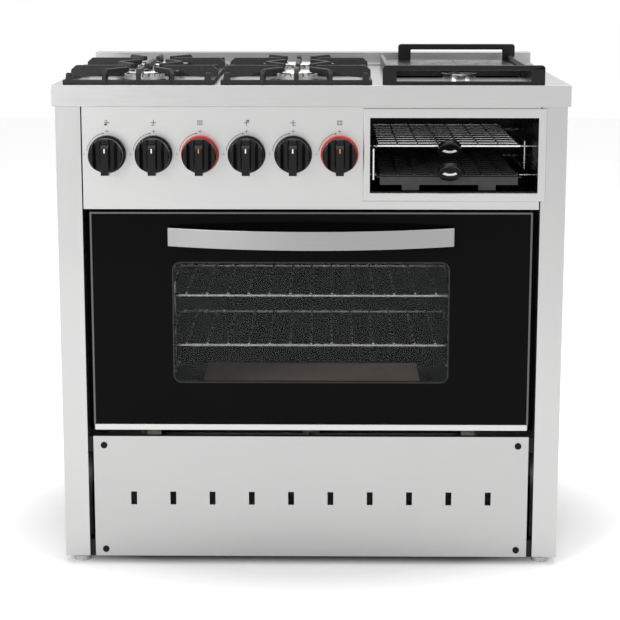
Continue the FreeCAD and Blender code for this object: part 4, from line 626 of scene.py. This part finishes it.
# ---- Knobs ---------------------------------------------------------------------------------------------
# Moulded gloss black knobs with a grip bar between two finger hollows, on rings screwed to the panel. The
# rings of the oven's and the griddle's knobs are red. Each bar slopes back at its upper end and carries a
# short inlaid pointer, white on the burners' knobs and amber on the other two.
bar_slope = 0.007
bar_top, bar_depth, bar_half_width = 0.018, 0.004, 0.008
pointer_size = (0.0022, 0.0006, 0.0075)
pointer_rise = 0.0100
white_paint, paint_shader, nodes, links = new_finish("white_pointer_paint", (0.85, 0.85, 0.83), 0.4)
flow = noise_at(nodes, links, place_pattern(nodes, links), 900.0)
links.new(shade_between(nodes, links, flow, (0.78, 0.78, 0.76), (0.9, 0.9, 0.88)),
          paint_shader.inputs["Base Color"])
raise_grain(nodes, links, paint_shader, flow, 0.1, 0.00003)
amber_paint, paint_shader, nodes, links = new_finish("amber_pointer_paint", (0.55, 0.2, 0.06), 0.4)
flow = noise_at(nodes, links, place_pattern(nodes, links), 900.0)
links.new(shade_between(nodes, links, flow, (0.48, 0.16, 0.05), (0.62, 0.25, 0.08)),
          paint_shader.inputs["Base Color"])
raise_grain(nodes, links, paint_shader, flow, 0.1, 0.00003)

for number, x in enumerate(knob_places, 1):
    body = "knob_%d" % number
    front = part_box(body)[0].y
    knob = eased_copy(body, "turned_" + body, None, body=body)
    for corner in knob.data.vertices:
        high_up = corner.co.z > knob_height + bar_top
        on_the_bar = corner.co.y < front + bar_depth and abs(corner.co.x - x) < bar_half_width
        if high_up and on_the_bar:
            corner.co.z -= bar_slope
    break_edges(knob, 0.0006, 2, 24.0)
    knob.data.materials.append(moulded)
    bpy.ops.mesh.primitive_cube_add(size=1.0, location=(x, front, knob_height + pointer_rise))
    pointer = bpy.context.active_object
    pointer.name = body + "_pointer"
    pointer.scale = pointer_size
    bpy.ops.object.transform_apply(location=True, rotation=True, scale=True)
    break_edges(pointer, 0.0002)
    pointer.data.materials.append(amber_paint if number in (3, 6) else white_paint)
    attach(pointer, body)
dress(["knob_rings_black"], moulded)

red, red_shader, nodes, links = new_finish("gloss_red_plastic", (0.6, 0.035, 0.025), 0.2, gloss=0.35)
flow = noise_at(nodes, links, place_pattern(nodes, links), 120.0)
links.new(shade_between(nodes, links, flow, (0.56, 0.03, 0.022), (0.66, 0.05, 0.038)),
          red_shader.inputs["Base Color"])
dress(["knob_rings_red"], red)

# ---- Floor, light and camera ---------------------------------------------------------------------------
# A pale seamless floor, large soft lamps, and the photograph's viewing point. Away from the object the floor
# and the backdrop show white; the object's own shadow stays on the floor round its feet, deepened by painted
# shade: the floor's glow is nil over an ellipse round the feet, and beyond it the glow is painted light.


def seen_directly(nodes, links):
    """1 for rays from the camera and for those that a glossy or clear surface sends on, else 0."""
    path = nodes.new("ShaderNodeLightPath")
    either = nodes.new("ShaderNodeMath")
    either.operation = "MAXIMUM"
    any_ray = nodes.new("ShaderNodeMath")
    any_ray.operation = "MAXIMUM"
    links.new(path.outputs["Is Camera Ray"], either.inputs[0])
    links.new(path.outputs["Is Glossy Ray"], either.inputs[1])
    links.new(either.outputs["Value"], any_ray.inputs[0])
    links.new(path.outputs["Is Transmission Ray"], any_ray.inputs[1])
    return any_ray.outputs["Value"]


floor_size = 16.0
shadow_half_width, shadow_half_depth = 0.47, 0.33
painted_glow_start, painted_glow_full, painted_glow_strength = 0.95, 1.5, 0.45
bpy.ops.mesh.primitive_plane_add(size=floor_size, location=(0, 0, 0))
floor = bpy.context.active_object
floor.name = "studio_floor"
pale, pale_shader, nodes, links = new_finish("pale_floor", (0.86, 0.86, 0.86), 0.7, gloss=0.1)
# Painted shade and light: the floor's glow, seen by camera and reflected rays, is nil over an ellipse round
# the object and rises away from it, so the floor reads darker round its feet than its lighting makes it.
away = nodes.new("ShaderNodeVectorMath")
away.operation = "LENGTH"
links.new(place_pattern(nodes, links, (1 / shadow_half_width, 1 / shadow_half_depth, 1.0)), away.inputs[0])
painted_floor_glow = nodes.new("ShaderNodeMath")
painted_floor_glow.operation = "MULTIPLY"
links.new(spread(nodes, links, away.outputs["Value"], 0.0, painted_glow_strength, painted_glow_start, painted_glow_full),
          painted_floor_glow.inputs[0])
links.new(seen_directly(nodes, links), painted_floor_glow.inputs[1])
pale_shader.inputs["Emission Color"].default_value = (1.0, 1.0, 1.0, 1.0)
links.new(painted_floor_glow.outputs["Value"], pale_shader.inputs["Emission Strength"])
floor.data.materials.append(pale)

world = bpy.data.worlds.new("studio")
bpy.context.scene.world = world
world.use_nodes = True
nodes, links = world.node_tree.nodes, world.node_tree.links
surround = nodes["Background"]
surround.inputs["Color"].default_value = (1.0, 1.0, 1.0, 1.0)
surround.inputs["Strength"].default_value = 0.55
backdrop = nodes.new("ShaderNodeBackground")
backdrop.inputs["Color"].default_value = (1.0, 1.0, 1.0, 1.0)
backdrop.inputs["Strength"].default_value = 1.0
choose = nodes.new("ShaderNodeMixShader")
links.new(seen_directly(nodes, links), choose.inputs["Fac"])
links.new(surround.outputs["Background"], choose.inputs[1])
links.new(backdrop.outputs["Background"], choose.inputs[2])
links.new(choose.outputs["Shader"], nodes["World Output"].inputs["Surface"])


def soft_lamp(name, place, target, size, power):
    """A large square lamp that faces a target."""
    lamp = bpy.data.lights.new(name, "AREA")
    lamp.shape = "SQUARE"
    lamp.size = size
    lamp.energy = power
    holder = bpy.data.objects.new(name, lamp)
    bpy.context.scene.collection.objects.link(holder)
    holder.location = place
    holder.rotation_euler = (Vector(target) - Vector(place)).to_track_quat("-Z", "Y").to_euler()
    holder.visible_camera = False


soft_lamp("lamp_left", (-2.0, -2.9, 1.7), (0, 0, 0.5), 1.5, 55)
soft_lamp("lamp_right", (2.6, -2.0, 2.2), (0, 0, 0.5), 1.6, 30)
soft_lamp("lamp_above", (0.0, 0.2, 3.4), (0, 0, 0.8), 2.6, 45)

scene = bpy.context.scene
scene.view_settings.view_transform = "Standard"
viewing_distance, eye_side, eye_height = 2.9, 0.0203, 1.0991
tilt_down, turn_left = math.radians(10.057), math.radians(0.61)
sensor_width, lens_ratio = 36.0, 2.7045
camera_data = bpy.data.cameras.new("view")
camera = bpy.data.objects.new("view", camera_data)
scene.collection.objects.link(camera)
rim_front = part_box("hob_rim")[0].y
camera.location = (eye_side, rim_front - viewing_distance, eye_height)
camera.rotation_euler = (math.pi / 2 - tilt_down, 0, turn_left)
camera_data.sensor_width = sensor_width
camera_data.lens = sensor_width * lens_ratio
camera_data.shift_x = 0.0083
camera_data.shift_y = -0.1
scene.camera = camera
